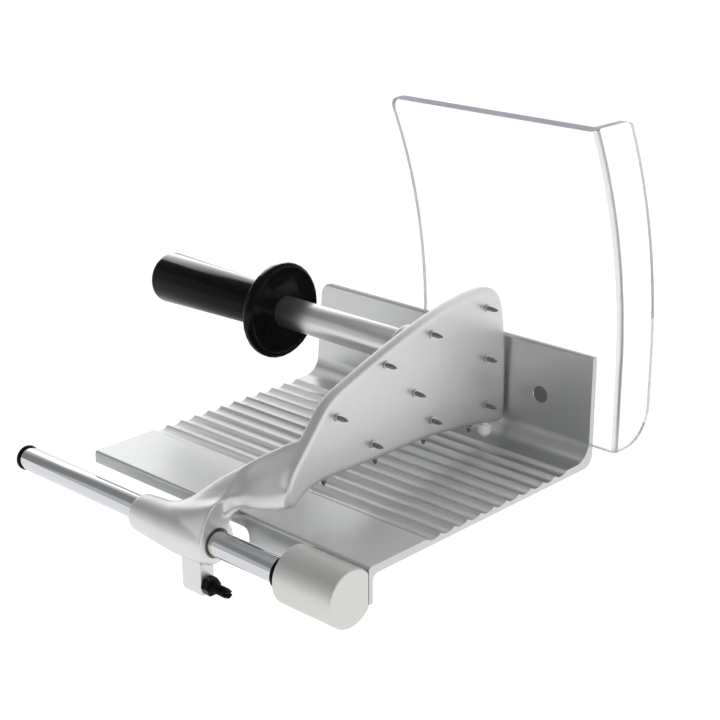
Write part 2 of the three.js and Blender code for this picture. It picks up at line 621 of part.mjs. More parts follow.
// The hub: a sleeve that swells towards its machined face and sags to the front and below.
function hubBody() {
  const stations = new THREE.SplineCurve([
    new THREE.Vector2(0, HUB_TAIL_RADIUS),
    new THREE.Vector2(0.3, (HUB_TAIL_RADIUS + HUB_SWELL) / 2),
    new THREE.Vector2(0.62, HUB_SWELL),
    new THREE.Vector2(1, HUB_RADIUS),
  ]).getPoints(ARC_STEPS);
  const rings = [];
  const ring = (share, radius) => {
    const x = HUB_TAIL + share * HUB_LENGTH;
    const sag = HUB_SAG * Math.min(1, 2 * (1 - share));
    const y = ROD_Y - sag;
    const z = ROD_Z - sag;
    rings.push(oval(x, new THREE.Vector2(y, z - radius), new THREE.Vector2(y, z + radius), radius, ROUND_SIDES));
  };
  const round = EDGE_ROUND / HUB_LENGTH;
  ring(0, HUB_TAIL_RADIUS - EDGE_ROUND / 3);
  ring(round / 2, HUB_TAIL_RADIUS);
  stations.slice(1, -1).forEach((s) => ring(s.x, s.y));
  ring(1 - round / 4, HUB_RADIUS);
  ring(1, HUB_RADIUS - EDGE_ROUND / 4);
  return solid(loft(rings));
}

// A smooth skin through hand-set stations: each has a place along X and the same named points (y, z).
// A creased skin has a sharp edge along its front ridge, where each section starts and ends.
function fairing(stations, steps, creased) {
  const threads = stations[0].points.map((_, k) => new THREE.CatmullRomCurve3(
    stations.map(({ x, points }) => new THREE.Vector3(x, points[k].x, points[k].y)), false, 'catmullrom'));
  const rings = [];
  for (let i = 0; i <= steps; i += 1) {
    const points = threads.map((thread) => thread.getPoint(i / steps));
    const loop = [...points.slice(FRONT_RIDGE), ...points.slice(0, FRONT_RIDGE)];
    if (creased) loop.push(loop[0].clone());
    const section = new THREE.CatmullRomCurve3(loop, !creased);
    rings.push(section.getPoints(ROUND_SIDES - ROUND_SIDES % threads.length).slice(0, -1));
  }
  return solid(loft(rings));
}

const byRod = (...points) => points.map(([y, z]) => new THREE.Vector2(ROD_Y + y, ROD_Z + z));
const byToe = (...points) => points.map(([y, z]) => new THREE.Vector2(TOE_FRONT + y, TOE_BOTTOM + z));

// Points of a section, in order: front foot, front flank, front ridge, crown, top edge, back, back foot.
const FRONT_RIDGE = 2;

// The shoulder grows out of the hub's top and ends in the tall flat face round the rod.
function shoulderBody() {
  return fairing([
    { x: HUB_TAIL + EDGE_ROUND,
      points: byRod([-8, -5], [-8.5, 3], [-5, 7], [-1, 8.5], [4, 7], [7.5, 2], [4, -6]) },
    { x: HUB_TAIL + 0.4 * HUB_LENGTH,
      points: byRod([-11, -5], [-10, 5], [-5, 11], [2, 12.5], [11.5, 9.5], [13, 5], [8, -6]) },
    { x: HUB_TAIL + 0.72 * HUB_LENGTH,
      points: byRod([-12.5, -3], [-10.5, 9], [-5, 16], [4, 20], [19, 28], [21, 20], [11, 6]) },
    { x: HUB_FACE,
      points: byRod([-12.4, 0], [-9.1, 13.8], [-2, 23.5], [6.3, 26.2], [25.5, 41], [28.5, 32], [17.5, 14]) },
  ], 2 * ARC_STEPS, false);
}

// The arm leaves the shoulder behind its flat face, scoops round over the tray's edge and runs into the plate.
function armBody() {
  const reach = PLATE_BACK - HUB_FACE;
  return fairing([
    { x: HUB_FACE - 0.5 * reach,
      points: byRod([2, 13], [1, 18], [4, 20.5], [9, 23], [20, 28.5], [22, 20], [14, 10]) },
    { x: HUB_FACE,
      points: byRod([5.5, 15], [5, 22], [6, 26.2], [14.5, 31], [25.5, 41], [29, 32], [18.5, 15]) },
    { x: HUB_FACE + 0.2 * reach,
      points: byRod([11.5, 19.5], [10.8, 23.5], [11.5, 27.5], [19, 34.5], [27.8, 45.7], [31.5, 36.5], [20.5, 18.5]) },
    { x: HUB_FACE + 0.62 * reach,
      points: byToe([-6.5, -2.2], [-7, 1.5], [-6, 5.6], [2, 17.5], [12.4, 30], [16.5, 20.5], [2, -2.4]) },
    { x: PLATE_BACK,
      points: byToe([-4, 0], [-5, 4], [-4, 9.5], [5, 23], [16.5, 36.5], [20, 28], [5, 1]) },
    { x: PLATE_FACE - PLATE_ROUND / 2,
      points: byToe([-1.5, 2.5], [-2.2, 6.5], [-1.5, 12.5], [6, 25], [15, 35], [19, 28], [6, 4]) },
  ], 3 * ARC_STEPS, true);
}

// The plate's outline in (y, z), from its toe over the tray's edge to its heel by the fence.
function plateOutline() {
  const shape = new THREE.Shape();
  const heelStart = PLATE_RIGHT - 72;
  shape.moveTo(TOE_FRONT + 6, TOE_BOTTOM + 2);
  shape.quadraticCurveTo(TOE_FRONT + 14, PLATE_BOTTOM - 0.5, TOE_FRONT + 28, PLATE_BOTTOM);
  shape.lineTo(heelStart, PLATE_BOTTOM - 1);
  shape.quadraticCurveTo(PLATE_RIGHT - 36, PLATE_BOTTOM - 4, PLATE_RIGHT - 6, PLATE_HEEL);
  shape.quadraticCurveTo(PLATE_RIGHT, PLATE_HEEL - 0.5, PLATE_RIGHT, PLATE_HEEL + 7);
  shape.quadraticCurveTo(PLATE_RIGHT + 1, PLATE_TOP * 0.6, PLATE_RIGHT - 5, PLATE_TOP - 16);
  shape.quadraticCurveTo(PLATE_RIGHT - 8.5, PLATE_TOP, PLATE_RIGHT - 26, PLATE_TOP);
  shape.bezierCurveTo(PLATE_RIGHT - 52, PLATE_TOP + 0.5, TOE_FRONT + 96, PLATE_TOP - 10.5,
    TOE_FRONT + 42, PLATE_SHOULDER);
  shape.quadraticCurveTo(TOE_FRONT + 32, PLATE_SHOULDER - 4, TOE_FRONT + 26, PLATE_SHOULDER - 11);
  shape.lineTo(TOE_FRONT + 4, PLATE_NECK);
  shape.quadraticCurveTo(TOE_FRONT - 2, PLATE_NECK - 9, TOE_FRONT - 1, TOE_BOTTOM + 8);
  shape.quadraticCurveTo(TOE_FRONT - 0.5, TOE_BOTTOM - 1.5, TOE_FRONT + 6, TOE_BOTTOM + 2);
  return shape;
}

function plateBody() {
  return solid(alongX(plateOutline(), PLATE_BACK + PLATE_ROUND, PLATE_FACE - PLATE_ROUND, {
    bevelEnabled: true, bevelThickness: PLATE_ROUND, bevelSize: PLATE_ROUND, bevelOffset: -PLATE_ROUND,
    bevelSegments: 2, curveSegments: 2 * ARC_STEPS,
  }));
}

// The lug under the hub that holds the stop screw.
function lugBody() {
  const half = LUG_WIDTH / 2;
  const bottom = ROD_Z - LUG_REACH;
  const shape = new THREE.Shape();
  const root = ROD_Z - HUB_RADIUS;
  shape.moveTo(ROD_Y - half - LUG_FLARE, root + LUG_FLARE / 2);
  shape.quadraticCurveTo(ROD_Y - half, root, ROD_Y - half, root - 2 * LUG_FLARE);
  shape.lineTo(ROD_Y - half, bottom + LUG_CORNER);
  shape.absarc(ROD_Y - half + LUG_CORNER, bottom + LUG_CORNER, LUG_CORNER, Math.PI, 1.5 * Math.PI, false);
  shape.absarc(ROD_Y + half - LUG_CORNER, bottom + LUG_CORNER, LUG_CORNER, 1.5 * Math.PI, 2 * Math.PI, false);
  shape.lineTo(ROD_Y + half, root - 2 * LUG_FLARE);
  shape.quadraticCurveTo(ROD_Y + half, root, ROD_Y + half + LUG_FLARE, root + LUG_FLARE / 2);
  return solid(alongX(shape, LUG_LEFT, LUG_RIGHT));
}

// The spikes stand on the plate's face in three columns by the fence and a fan towards the arm.
const plateMiddle = (PLATE_TOP + PLATE_BOTTOM) / 2;
const faceSpikes = [
  [PLATE_RIGHT - 21, PLATE_TOP - 13], [PLATE_RIGHT - 20, plateMiddle - 5], [PLATE_RIGHT - 19.5, PLATE_BOTTOM + 5],
  [PLATE_RIGHT - 72, PLATE_TOP - 17], [PLATE_RIGHT - 71, PLATE_BOTTOM + 10], [PLATE_RIGHT - 86.5, plateMiddle - 9],
  [TOE_FRONT + 78, PLATE_TOP - 25.5], [TOE_FRONT + 67, PLATE_BOTTOM + 10.5],
  [TOE_FRONT + 38, PLATE_SHOULDER - 15.5],
];
const edgeSpikeRun = FOOT_Y - EDGE_SPIKE_FOOT_GAP - EDGE_SPIKE_FIRST;
const edgeSpikes = Array.from({ length: EDGE_SPIKE_COUNT },
  (_, i) => EDGE_SPIKE_FIRST + (i * edgeSpikeRun) / (EDGE_SPIKE_COUNT - 1));
const outlinePoints = plateOutline().getPoints(2 * ARC_STEPS);

// The height of the plate's lower edge at a place along Y.
function plateUnderside(y) {
  let height = Infinity;
  outlinePoints.forEach((p, i) => {
    const q = outlinePoints[(i + 1) % outlinePoints.length];
    if ((p.x - y) * (q.x - y) > 0 || p.x === q.x) return;
    height = Math.min(height, p.y + ((y - p.x) / (q.x - p.x)) * (q.y - p.y));
  });
  return height;
}

const FOOT_TOP = Math.min(plateUnderside(FOOT_Y - FOOT_RADIUS), plateUnderside(FOOT_Y + FOOT_RADIUS)) - FIT;

function makePusherCasting() {
  const socket = solid(pinX(SOCKET_RADIUS, PLATE_BACK - SOCKET_DEPTH, PLATE_BACK + PLATE_ROUND,
    HANDLE_OUT, HANDLE_UP, ROUND_SIDES));
  const reach = 4 * HUB_RADIUS;
  const trayRoom = polygon([
    [-SLIDE_GAP, 2 * SLIDE_GAP], [reach, 2 * SLIDE_GAP], [reach, -reach], [-SLIDE_GAP, -reach],
  ]);
  const cutters = [
    alongX(trayRoom, HUB_TAIL - CUT, PLATE_FACE + CUT),
    pinX(HUB_BORE, HUB_TAIL - CUT, HUB_FACE + CUT, ROD_Y, ROD_Z, ROUND_SIDES),
    pinX(STOP_RADIUS + FIT, LUG_LEFT - CUT, LUG_RIGHT + CUT, ROD_Y, STOP_Z),
    pinX(TUBE_RADIUS + FIT, PLATE_BACK - SOCKET_DEPTH - CUT, SOCKET_FLOOR, HANDLE_OUT, HANDLE_UP, ROUND_SIDES),
    pinX(STUD_RADIUS + FIT, SOCKET_FLOOR - CUT, PLATE_BACK + STUD_PLATE_DEPTH + FIT, HANDLE_OUT, HANDLE_UP),
    pinZ(FOOT_STEM + FIT, FOOT_TOP - CUT, FOOT_TOP + FOOT_STEM_LENGTH + FIT, PLATE_MIDDLE, FOOT_Y),
  ];
  for (const [y, z] of faceSpikes) {
    cutters.push(pinX(SPIKE_STEM + FIT, PLATE_FACE - SPIKE_STEM_LENGTH - FIT, PLATE_FACE + CUT, y, z, SPIKE_SIDES));
  }
  for (const y of edgeSpikes) {
    const edge = plateUnderside(y);
    cutters.push(pinZ(SPIKE_STEM + FIT, edge - CUT, edge + SPIKE_STEM_LENGTH + FIT, PLATE_MIDDLE, y, SPIKE_SIDES));
  }
  const body = plateBody().add(armBody()).add(shoulderBody()).add(hubBody()).add(lugBody()).add(socket);
  place('pusher_casting', geometryOf(cutAll(body, cutters.map(solid))), CAST_ALUMINIUM);
}

// A spike's profile from its stem to its tip, along its own axis.
function spikeProfile(length) {
  return [
    [0, -SPIKE_STEM_LENGTH], [SPIKE_STEM, -SPIKE_STEM_LENGTH], [SPIKE_STEM, FIT], [SPIKE_COLLAR, FIT],
    [SPIKE_COLLAR, SPIKE_COLLAR_HEIGHT], [SPIKE_RADIUS, SPIKE_COLLAR_HEIGHT], [SPIKE_RADIUS, length * 0.4],
    [SPIKE_RADIUS * 0.6, length * 0.75], [0, length],
  ];
}

function makeSpikes() {
  faceSpikes.forEach(([y, z], i) => {
    place(`face_spike_${i + 1}`, turned(spikeProfile(SPIKE_LENGTH), ABOUT_X, SPIKE_SIDES, [PLATE_FACE, y, z]),
      STAINLESS);
  });
  const downwards = new THREE.Matrix4().makeRotationX(-Math.PI / 2);
  edgeSpikes.forEach((y, i) => {
    const edge = Math.min(plateUnderside(y - SPIKE_COLLAR), plateUnderside(y + SPIKE_COLLAR));
    place(`edge_spike_${i + 1}`, turned(spikeProfile(EDGE_SPIKE_LENGTH), downwards, SPIKE_SIDES,
      [PLATE_MIDDLE, y, edge]), STAINLESS);
  });
}

function makeFoot() {
  place('glide_foot', turned([
    [0, FIT], [FIT, FIT], [FOOT_RADIUS, FOOT_POINT], [FOOT_RADIUS, FOOT_TOP], [FOOT_STEM, FOOT_TOP],
    [FOOT_STEM, FOOT_TOP + FOOT_STEM_LENGTH], [0, FOOT_TOP + FOOT_STEM_LENGTH],
  ], ABOUT_Z, SMALL_SIDES, [PLATE_MIDDLE, FOOT_Y, 0]), WHITE_PLASTIC);
}

function makeHandle() {
  const at = [0, HANDLE_OUT, HANDLE_UP];
  const bore = TUBE_RADIUS - TUBE_WALL;
  place('handle_tube', turned([
    [bore, TUBE_LEFT], [TUBE_RADIUS, TUBE_LEFT], [TUBE_RADIUS, TUBE_RIGHT], [bore, TUBE_RIGHT], [bore, TUBE_LEFT],
  ], ABOUT_X, ROUND_SIDES, at), SATIN_ALUMINIUM);

  const studHole = STUD_RADIUS + FIT;
  const rim = DISC_THICKNESS / 4;
  place('handle_disc', turned([
    [studHole, DISC_LEFT], [GRIP_RADIUS, DISC_LEFT], [DISC_RADIUS - 2 * rim, DISC_LEFT + rim],
    [DISC_RADIUS - rim / 2, DISC_LEFT + rim], [DISC_RADIUS, DISC_LEFT + 1.5 * rim],
    [DISC_RADIUS, DISC_RIGHT - rim], [DISC_RADIUS - rim, DISC_RIGHT], [DISC_RADIUS - 2 * rim, DISC_RIGHT - rim / 2],
    [GRIP_RADIUS, DISC_RIGHT - rim / 2], [TUBE_RADIUS + FIT, DISC_RIGHT], [studHole, DISC_RIGHT],
    [studHole, DISC_LEFT],
  ], ABOUT_X, ROUND_SIDES, at), BLACK_PLASTIC);

  const boreEnd = GRIP_RIGHT - STUD_GRIP_DEPTH - FIT;
  const end = [];
  for (let i = 0; i <= ARC_STEPS; i += 1) {
    const angle = (i / ARC_STEPS) * (Math.PI / 2);
    end.push([
      GRIP_RADIUS - GRIP_ROUND + GRIP_ROUND * Math.sin(angle),
      GRIP_LEFT + GRIP_ROUND * (1 - Math.cos(angle)),
    ]);
  }
  place('handle_grip', turned([
    [0, GRIP_LEFT], ...end, [GRIP_NECK, GRIP_RIGHT], [studHole, GRIP_RIGHT], [studHole, boreEnd], [0, boreEnd],
  ], ABOUT_X, ROUND_SIDES, at), BLACK_PLASTIC);

  place('handle_stud', pinX(STUD_RADIUS, GRIP_RIGHT - STUD_GRIP_DEPTH, PLATE_BACK + STUD_PLATE_DEPTH,
    HANDLE_OUT, HANDLE_UP), STAINLESS);
}

function makeStopScrew() {
  const nutLeft = LUG_RIGHT + FIT;
  place('lock_nut', alongX(hexagon(LOCK_NUT_FLATS, STOP_RADIUS + FIT), nutLeft, nutLeft + LOCK_NUT_HEIGHT)
    .translate(0, ROD_Y, STOP_Z), BLACK_STEEL);

  const tail = STOP_TIP - STOP_LENGTH;
  const edge = STOP_RADIUS / 4;
  const screw = solid(turned([
    [0, tail], [STOP_RADIUS - edge, tail], [STOP_RADIUS, tail + edge], [STOP_RADIUS, STOP_TIP - edge],
    [STOP_RADIUS - edge, STOP_TIP], [0, STOP_TIP],
  ], ABOUT_X, SMALL_SIDES, [0, ROD_Y, STOP_Z]));
  const slot = new THREE.BoxGeometry(2 * STOP_SLOT_DEPTH, 4 * STOP_RADIUS, STOP_SLOT)
    .translate(STOP_TIP, ROD_Y, STOP_Z);
  place('stop_screw', geometryOf(screw.subtract(solid(slot))), BLACK_STEEL);
}

makeTray();
makeGuard();
makeGuardFasteners();
makeBracket();
makeBracketFasteners();
makeRod();
makeBushes();
makePusherCasting();
makeSpikes();
makeFoot();
makeHandle();
makeStopScrew();

export default carriage;
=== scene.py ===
import json
import math

import bpy
from bpy.props import FloatProperty, FloatVectorProperty, IntProperty, PointerProperty
from mathutils import Matrix, Vector


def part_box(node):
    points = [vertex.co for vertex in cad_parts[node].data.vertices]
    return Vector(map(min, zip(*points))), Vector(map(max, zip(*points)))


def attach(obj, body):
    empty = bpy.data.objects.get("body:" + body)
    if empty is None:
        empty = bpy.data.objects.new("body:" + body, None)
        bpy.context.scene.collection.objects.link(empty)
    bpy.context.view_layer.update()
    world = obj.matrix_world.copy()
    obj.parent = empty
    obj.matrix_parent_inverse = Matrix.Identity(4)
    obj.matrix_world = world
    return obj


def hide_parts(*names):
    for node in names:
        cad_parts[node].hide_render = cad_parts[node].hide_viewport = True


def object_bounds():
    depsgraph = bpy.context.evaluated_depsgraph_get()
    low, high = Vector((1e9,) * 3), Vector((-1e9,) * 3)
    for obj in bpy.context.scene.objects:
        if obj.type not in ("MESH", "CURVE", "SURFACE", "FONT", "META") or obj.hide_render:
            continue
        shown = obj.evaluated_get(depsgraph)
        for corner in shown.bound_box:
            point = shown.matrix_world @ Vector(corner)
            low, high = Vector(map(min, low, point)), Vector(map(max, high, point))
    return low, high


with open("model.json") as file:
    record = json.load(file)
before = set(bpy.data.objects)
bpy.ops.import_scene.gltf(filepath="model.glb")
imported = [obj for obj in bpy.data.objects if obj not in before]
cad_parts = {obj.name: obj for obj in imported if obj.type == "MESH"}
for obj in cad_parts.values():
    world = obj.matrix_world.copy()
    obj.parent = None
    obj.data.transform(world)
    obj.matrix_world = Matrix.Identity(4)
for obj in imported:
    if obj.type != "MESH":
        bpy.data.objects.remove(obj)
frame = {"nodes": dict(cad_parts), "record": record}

bl_info = {
    "name": "Slicer food carriage",
    "version": (1, 0, 0),
    "blender": (4, 5, 0),
    "location": "View3D > Sidebar > Carriage",
    "description": "Dresses the packed solids of a slicer's food carriage with finished meshes and materials",
    "category": "Object",
}

CAD_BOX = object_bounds()
NODES = frame["nodes"]
MM = 0.001
RECORD = frame["record"]
BODY_OF = {node: body for body, nodes in RECORD["behaviour"]["bodies"].items() for node in nodes}
AXES = {"X": Vector((1, 0, 0)), "Y": Vector((0, 1, 0)), "Z": Vector((0, 0, 1))}

# Clearance of bores, and how far a cutter reaches past a face
FIT = 0.3 * MM
CUT_PAST = 1 * MM

# How near points are that get merged, how flat faces are that get joined, and sides of small turned pieces
MERGE_WITHIN = 0.002 * MM
FLAT_WITHIN = math.radians(0.5)
SMALL_SIDES = 48


def colour(name, description, default):
    return FloatVectorProperty(name=name, description=description, default=default, subtype="COLOR",
                               size=3, min=0, max=1)


def length(name, description, default):
    return FloatProperty(name=name, description=description, default=default, subtype="DISTANCE",
                         unit="LENGTH", min=0, precision=5)


class CarriageSizes(bpy.types.PropertyGroup):
    """Fine shapes that the solids leave out."""
    tray_edge: length("Tray edge", "Rounding of the tray's cut edges and groove ridges", 0.5 * MM)
    guard_edge: length("Guard edge", "Rounding of the guard's moulded edges", 0.9 * MM)
    bracket_edge: length("Bracket edge", "Rounding of the rod bracket's edges", 0.4 * MM)
    turned_edge: length("Turned edge", "Rounding of the turned pieces' edges", 0.3 * MM)
    casting_cell: length("Casting cell", "Cell size at which the casting's skin is drawn", 0.8 * MM)
    thread_pitch: length("Thread pitch", "Pitch of the stop screw's thread", 1.0 * MM)
    thread_depth: length("Thread depth", "Depth of the stop screw's thread", 0.5 * MM)
    casting_softness: IntProperty(name="Casting softness", default=14, min=0, max=40,
                                  description="How far the casting's corners and fillets are softened")
    sides: IntProperty(name="Sides", description="Faces round a turned piece", default=96, min=16, max=256)


class CarriageColours(bpy.types.PropertyGroup):
    """Colours of the finishes."""
    tray: colour("Tray", "Anodised aluminium of the tray", (0.65, 0.66, 0.66))
    casting: colour("Casting", "Satin aluminium of the pusher", (0.78, 0.785, 0.775))
    bracket: colour("Bracket", "Bead-blasted aluminium of the rod bracket", (0.73, 0.73, 0.708))
    tube: colour("Tube", "Drawn aluminium of the handle tube", (0.73, 0.74, 0.74))
    chrome: colour("Chrome", "Plating of the rod", (0.66, 0.675, 0.70))
    stainless: colour("Stainless", "Steel of the nuts, screws and stud", (0.46, 0.465, 0.47))
    spike: colour("Spike", "Darker steel of the spikes", (0.27, 0.265, 0.25))
    bronze: colour("Bronze", "Bushes in the hub", (0.24, 0.21, 0.16))
    plastic: colour("Black plastic", "Grip, disc and cap", (0.003, 0.003, 0.0035))
    black_steel: colour("Black steel", "Stop screw, lock nut and set screw", (0.004, 0.004, 0.005))
    plug_steel: colour("Guard screw", "Dull head of the guard screws", (0.27, 0.255, 0.245))
    rubber: colour("Rubber", "Buffer on the rod", (0.006, 0.006, 0.006))
    foot: colour("Foot", "White plastic of the glide foot", (0.93, 0.93, 0.92))
    guard: colour("Guard", "Clear plastic of the hand guard", (0.99, 0.995, 1.0))
    guard_rim: colour("Guard rim", "Sawn and polished edge of the hand guard", (0.80, 0.81, 0.90))
    # The bend colour is a painted refraction streak: a frosted band on the bend's outside that stands for the
    # light and shade the moulding's bend makes.
    guard_bend_streak: colour("Guard bend", "Rounded bend between the guard's panel and flange", (0.95, 0.955, 0.97))
    floor: colour("Floor", "Plain floor under the object", (0.55, 0.55, 0.55))


# Modelling by hand: selection, turned pieces and copies of solids

def select_only(obj):
    """Leaves edit mode and makes one object, or none, the selected and active one."""
    if bpy.context.object and bpy.context.object.mode != "OBJECT":
        bpy.ops.object.mode_set(mode="OBJECT")
    bpy.ops.object.select_all(action="DESELECT")
    if obj is not None:
        obj.select_set(True)
        bpy.context.view_layer.objects.active = obj
    return obj


def add_modifier(obj, kind, **settings):
    """One modifier, set and applied at once."""
    select_only(obj)
    modifier = obj.modifiers.new(kind.lower(), kind)
    for key, value in settings.items():
        setattr(modifier, key, value)
    bpy.ops.object.modifier_apply(modifier=modifier.name)


def round_edges(obj, width, segments=2, angle=32):
    add_modifier(obj, "BEVEL", width=width, segments=segments, limit_method="ANGLE",
                 angle_limit=math.radians(angle), use_clamp_overlap=True)


def smooth(obj, angle=32):
    select_only(obj)
    bpy.ops.object.shade_smooth_by_angle(angle=math.radians(angle))


def keep_flats(obj):
    """Large faces set the shading, so that a flat wall stays flat beside its holes and rounded edges."""
    add_modifier(obj, "WEIGHTED_NORMAL", keep_sharp=True, weight=50)


def solid_copy(node, name):
    """A new object with the node's mesh, its loose triangles merged and flat faces joined."""
    obj = bpy.data.objects.new(name, NODES[node].data.copy())
    bpy.context.scene.collection.objects.link(obj)
    select_only(obj)
    bpy.ops.object.mode_set(mode="EDIT")
    bpy.ops.mesh.select_all(action="SELECT")
    bpy.ops.mesh.remove_doubles(threshold=MERGE_WITHIN)
    bpy.ops.mesh.dissolve_limited(angle_limit=FLAT_WITHIN)
    bpy.ops.object.mode_set(mode="OBJECT")
    return obj


def turned(name, profile, centre, axis, sides):
    """Turns a profile of (place along the axis, radius), in metres, round an axis through a point."""
    along = AXES[axis]
    out = AXES["Z"] if axis != "Z" else AXES["X"]
    base = centre - along * centre.dot(along)
    points = [base + along * place + out * radius for place, radius in profile]
    select_only(None)
    bpy.ops.mesh.primitive_plane_add(size=MM, location=points[0])
    obj = bpy.context.object
    obj.name = name
    bpy.ops.object.transform_apply(location=True)
    bpy.ops.object.mode_set(mode="EDIT")
    bpy.ops.mesh.select_all(action="SELECT")
    bpy.ops.mesh.merge(type="CENTER")
    for before, after in zip(points, points[1:]):
        bpy.ops.mesh.extrude_region_move(TRANSFORM_OT_translate={"value": after - before})
    bpy.ops.mesh.select_all(action="SELECT")
    bpy.ops.mesh.spin(steps=sides, angle=2 * math.pi, center=base, axis=along)
    bpy.ops.mesh.select_all(action="SELECT")
    bpy.ops.mesh.remove_doubles(threshold=MERGE_WITHIN)
    bpy.ops.mesh.normals_make_consistent(inside=False)
    bpy.ops.object.mode_set(mode="OBJECT")
    return obj


def ring(name, start, end, inner, outer, centre, sides):
    """A plain tube along X."""
    profile = [(start, inner), (start, outer), (end, outer), (end, inner), (start, inner)]
    return turned(name, profile, centre, "X", sides)


def bar(name, start, end, radius, centre, sides):
    """A plain round bar along X."""
    return turned(name, [(start, 0), (start, radius), (end, radius), (end, 0)], centre, "X", sides)


def centre_of(node):
    low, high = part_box(node)
    return (low + high) / 2


def span(node, axis):
    low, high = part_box(node)
    return low.dot(AXES[axis]), high.dot(AXES[axis])


def widest(node, axis):
    """Radius of a round node about its axis."""
    low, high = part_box(node)
    return max((high - low).dot(AXES[a]) for a in AXES if a != axis) / 2


def cut(obj, cutter, operation="DIFFERENCE"):
    add_modifier(obj, "BOOLEAN", object=cutter, operation=operation, solver="EXACT")
    bpy.data.objects.remove(cutter)


def copy_to(obj, name, offset):
    """A copy with its own mesh, moved, and its place put into the mesh."""
    select_only(obj)
    bpy.ops.object.duplicate(linked=False)
    copy = bpy.context.object
    copy.name = name
    bpy.ops.transform.translate(value=offset)
    bpy.ops.object.transform_apply(location=True)
    return copy


def settle(obj, node, material):
    """The piece stands for its node: it joins the node's body and the node is hidden. With no material it
    keeps those it has.
    """
    if material:
        obj.data.materials.clear()
        obj.data.materials.append(material)
    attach(obj, BODY_OF[node])
    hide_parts(node)


# Shader node groups

def add_node(tree, kind, inputs=None, **settings):
    node = tree.nodes.new(kind)
    for key, value in settings.items():
        setattr(node, key, value)
    for key, value in (inputs or {}).items():
        if isinstance(value, bpy.types.NodeSocket):
            tree.links.new(value, node.inputs[key])
        else:
            node.inputs[key].default_value = value
    return node


def new_group(name, inputs, outputs):
    tree = bpy.data.node_groups.new(name, "ShaderNodeTree")
    for label, kind, default in inputs:
        socket = tree.interface.new_socket(label, in_out="INPUT", socket_type=kind)
        if default is not None:
            socket.default_value = default
    for label, kind in outputs:
        tree.interface.new_socket(label, in_out="OUTPUT", socket_type=kind)
    return tree, tree.nodes.new("NodeGroupInput"), tree.nodes.new("NodeGroupOutput")


def grain_group():
    """Fine surface grain: stretched noise as a height and a mask."""
    tree, given, out = new_group("surface_grain", [
        ("Vector", "NodeSocketVector", None), ("Stretch", "NodeSocketVector", (1, 1, 1)),
        ("Scale", "NodeSocketFloat", 2000.0), ("Detail", "NodeSocketFloat", 3.0),
    ], [("Height", "NodeSocketFloat"), ("Mask", "NodeSocketFloat")])
    place = add_node(tree, "ShaderNodeVectorMath", {0: given.outputs["Vector"], 1: given.outputs["Stretch"]},
                     operation="MULTIPLY")
    noise = add_node(tree, "ShaderNodeTexNoise", {
        "Vector": place.outputs[0], "Scale": given.outputs["Scale"], "Detail": given.outputs["Detail"],
        "Roughness": 0.6})
    mask = add_node(tree, "ShaderNodeMapRange", {
        "Value": noise.outputs["Fac"], "From Min": 0.35, "From Max": 0.65})
    tree.links.new(noise.outputs["Fac"], out.inputs["Height"])
    tree.links.new(mask.outputs["Result"], out.inputs["Mask"])
    return tree


def handling_group():
    """Slow changes over the surface: handling marks in the gloss and a faint change of tone."""
    tree, given, out = new_group("handling", [
        ("Vector", "NodeSocketVector", None), ("Color", "NodeSocketColor", (0.5, 0.5, 0.5, 1)),
        ("Roughness", "NodeSocketFloat", 0.4), ("Spread", "NodeSocketFloat", 0.06),
        ("Tone", "NodeSocketFloat", 0.05), ("Scale", "NodeSocketFloat", 30.0),
    ], [("Color", "NodeSocketColor"), ("Roughness", "NodeSocketFloat")])
    slow = add_node(tree, "ShaderNodeTexNoise", {
        "Vector": given.outputs["Vector"], "Scale": given.outputs["Scale"], "Detail": 5.0, "Roughness": 0.55})
    middle = add_node(tree, "ShaderNodeMath", {0: slow.outputs["Fac"], 1: 0.5}, operation="SUBTRACT")
    gloss = add_node(tree, "ShaderNodeMath", {
        0: middle.outputs[0], 1: given.outputs["Spread"], 2: given.outputs["Roughness"],
    }, operation="MULTIPLY_ADD")
    tone = add_node(tree, "ShaderNodeMath", {0: middle.outputs[0], 1: given.outputs["Tone"], 2: 1.0},
                    operation="MULTIPLY_ADD")
    tint = add_node(tree, "ShaderNodeHueSaturation", {
        "Value": tone.outputs[0], "Color": given.outputs["Color"]})
    tree.links.new(tint.outputs["Color"], out.inputs["Color"])
    tree.links.new(gloss.outputs[0], out.inputs["Roughness"])
    return tree


def group(name, maker):
    return bpy.data.node_groups.get(name) or maker()


def finish_material(name, tone, roughness, metallic, grain_scale, grain_depth, stretch=(1, 1, 1),
                    spread=0.08, tint=0.06, handling_scale=30.0, **sockets):
    """A material with handling marks and a grain; the sockets are set on the shader itself."""
    found = bpy.data.materials.get(name)
    if found:
        return found
    material = bpy.data.materials.new(name)
    material.use_nodes = True
    tree = material.node_tree
    shader = tree.nodes["Principled BSDF"]
    place = add_node(tree, "ShaderNodeTexCoord").outputs["Object"]
    handling = add_node(tree, "ShaderNodeGroup", node_tree=group("handling", handling_group))
    tree.links.new(place, handling.inputs["Vector"])
    handling.inputs["Color"].default_value = (*tone, 1)
    handling.inputs["Roughness"].default_value = roughness
    handling.inputs["Spread"].default_value = spread
    handling.inputs["Tone"].default_value = tint
    handling.inputs["Scale"].default_value = handling_scale
    grain = add_node(tree, "ShaderNodeGroup", node_tree=group("surface_grain", grain_group))
    tree.links.new(place, grain.inputs["Vector"])
    grain.inputs["Stretch"].default_value = stretch
    grain.inputs["Scale"].default_value = grain_scale
    bump = add_node(tree, "ShaderNodeBump", {"Strength": 1.0, "Distance": grain_depth,
                                             "Height": grain.outputs["Height"]})
    tree.links.new(handling.outputs["Color"], shader.inputs["Base Color"])
    tree.links.new(handling.outputs["Roughness"], shader.inputs["Roughness"])
    tree.links.new(bump.outputs["Normal"], shader.inputs["Normal"])
    shader.inputs["Metallic"].default_value = metallic
    for key, value in sockets.items():
        shader.inputs[key.replace("_", " ")].default_value = value
    return material


def colours():
    return bpy.context.scene.carriage_colours


def sizes():
    return bpy.context.scene.carriage_sizes


# Finishes

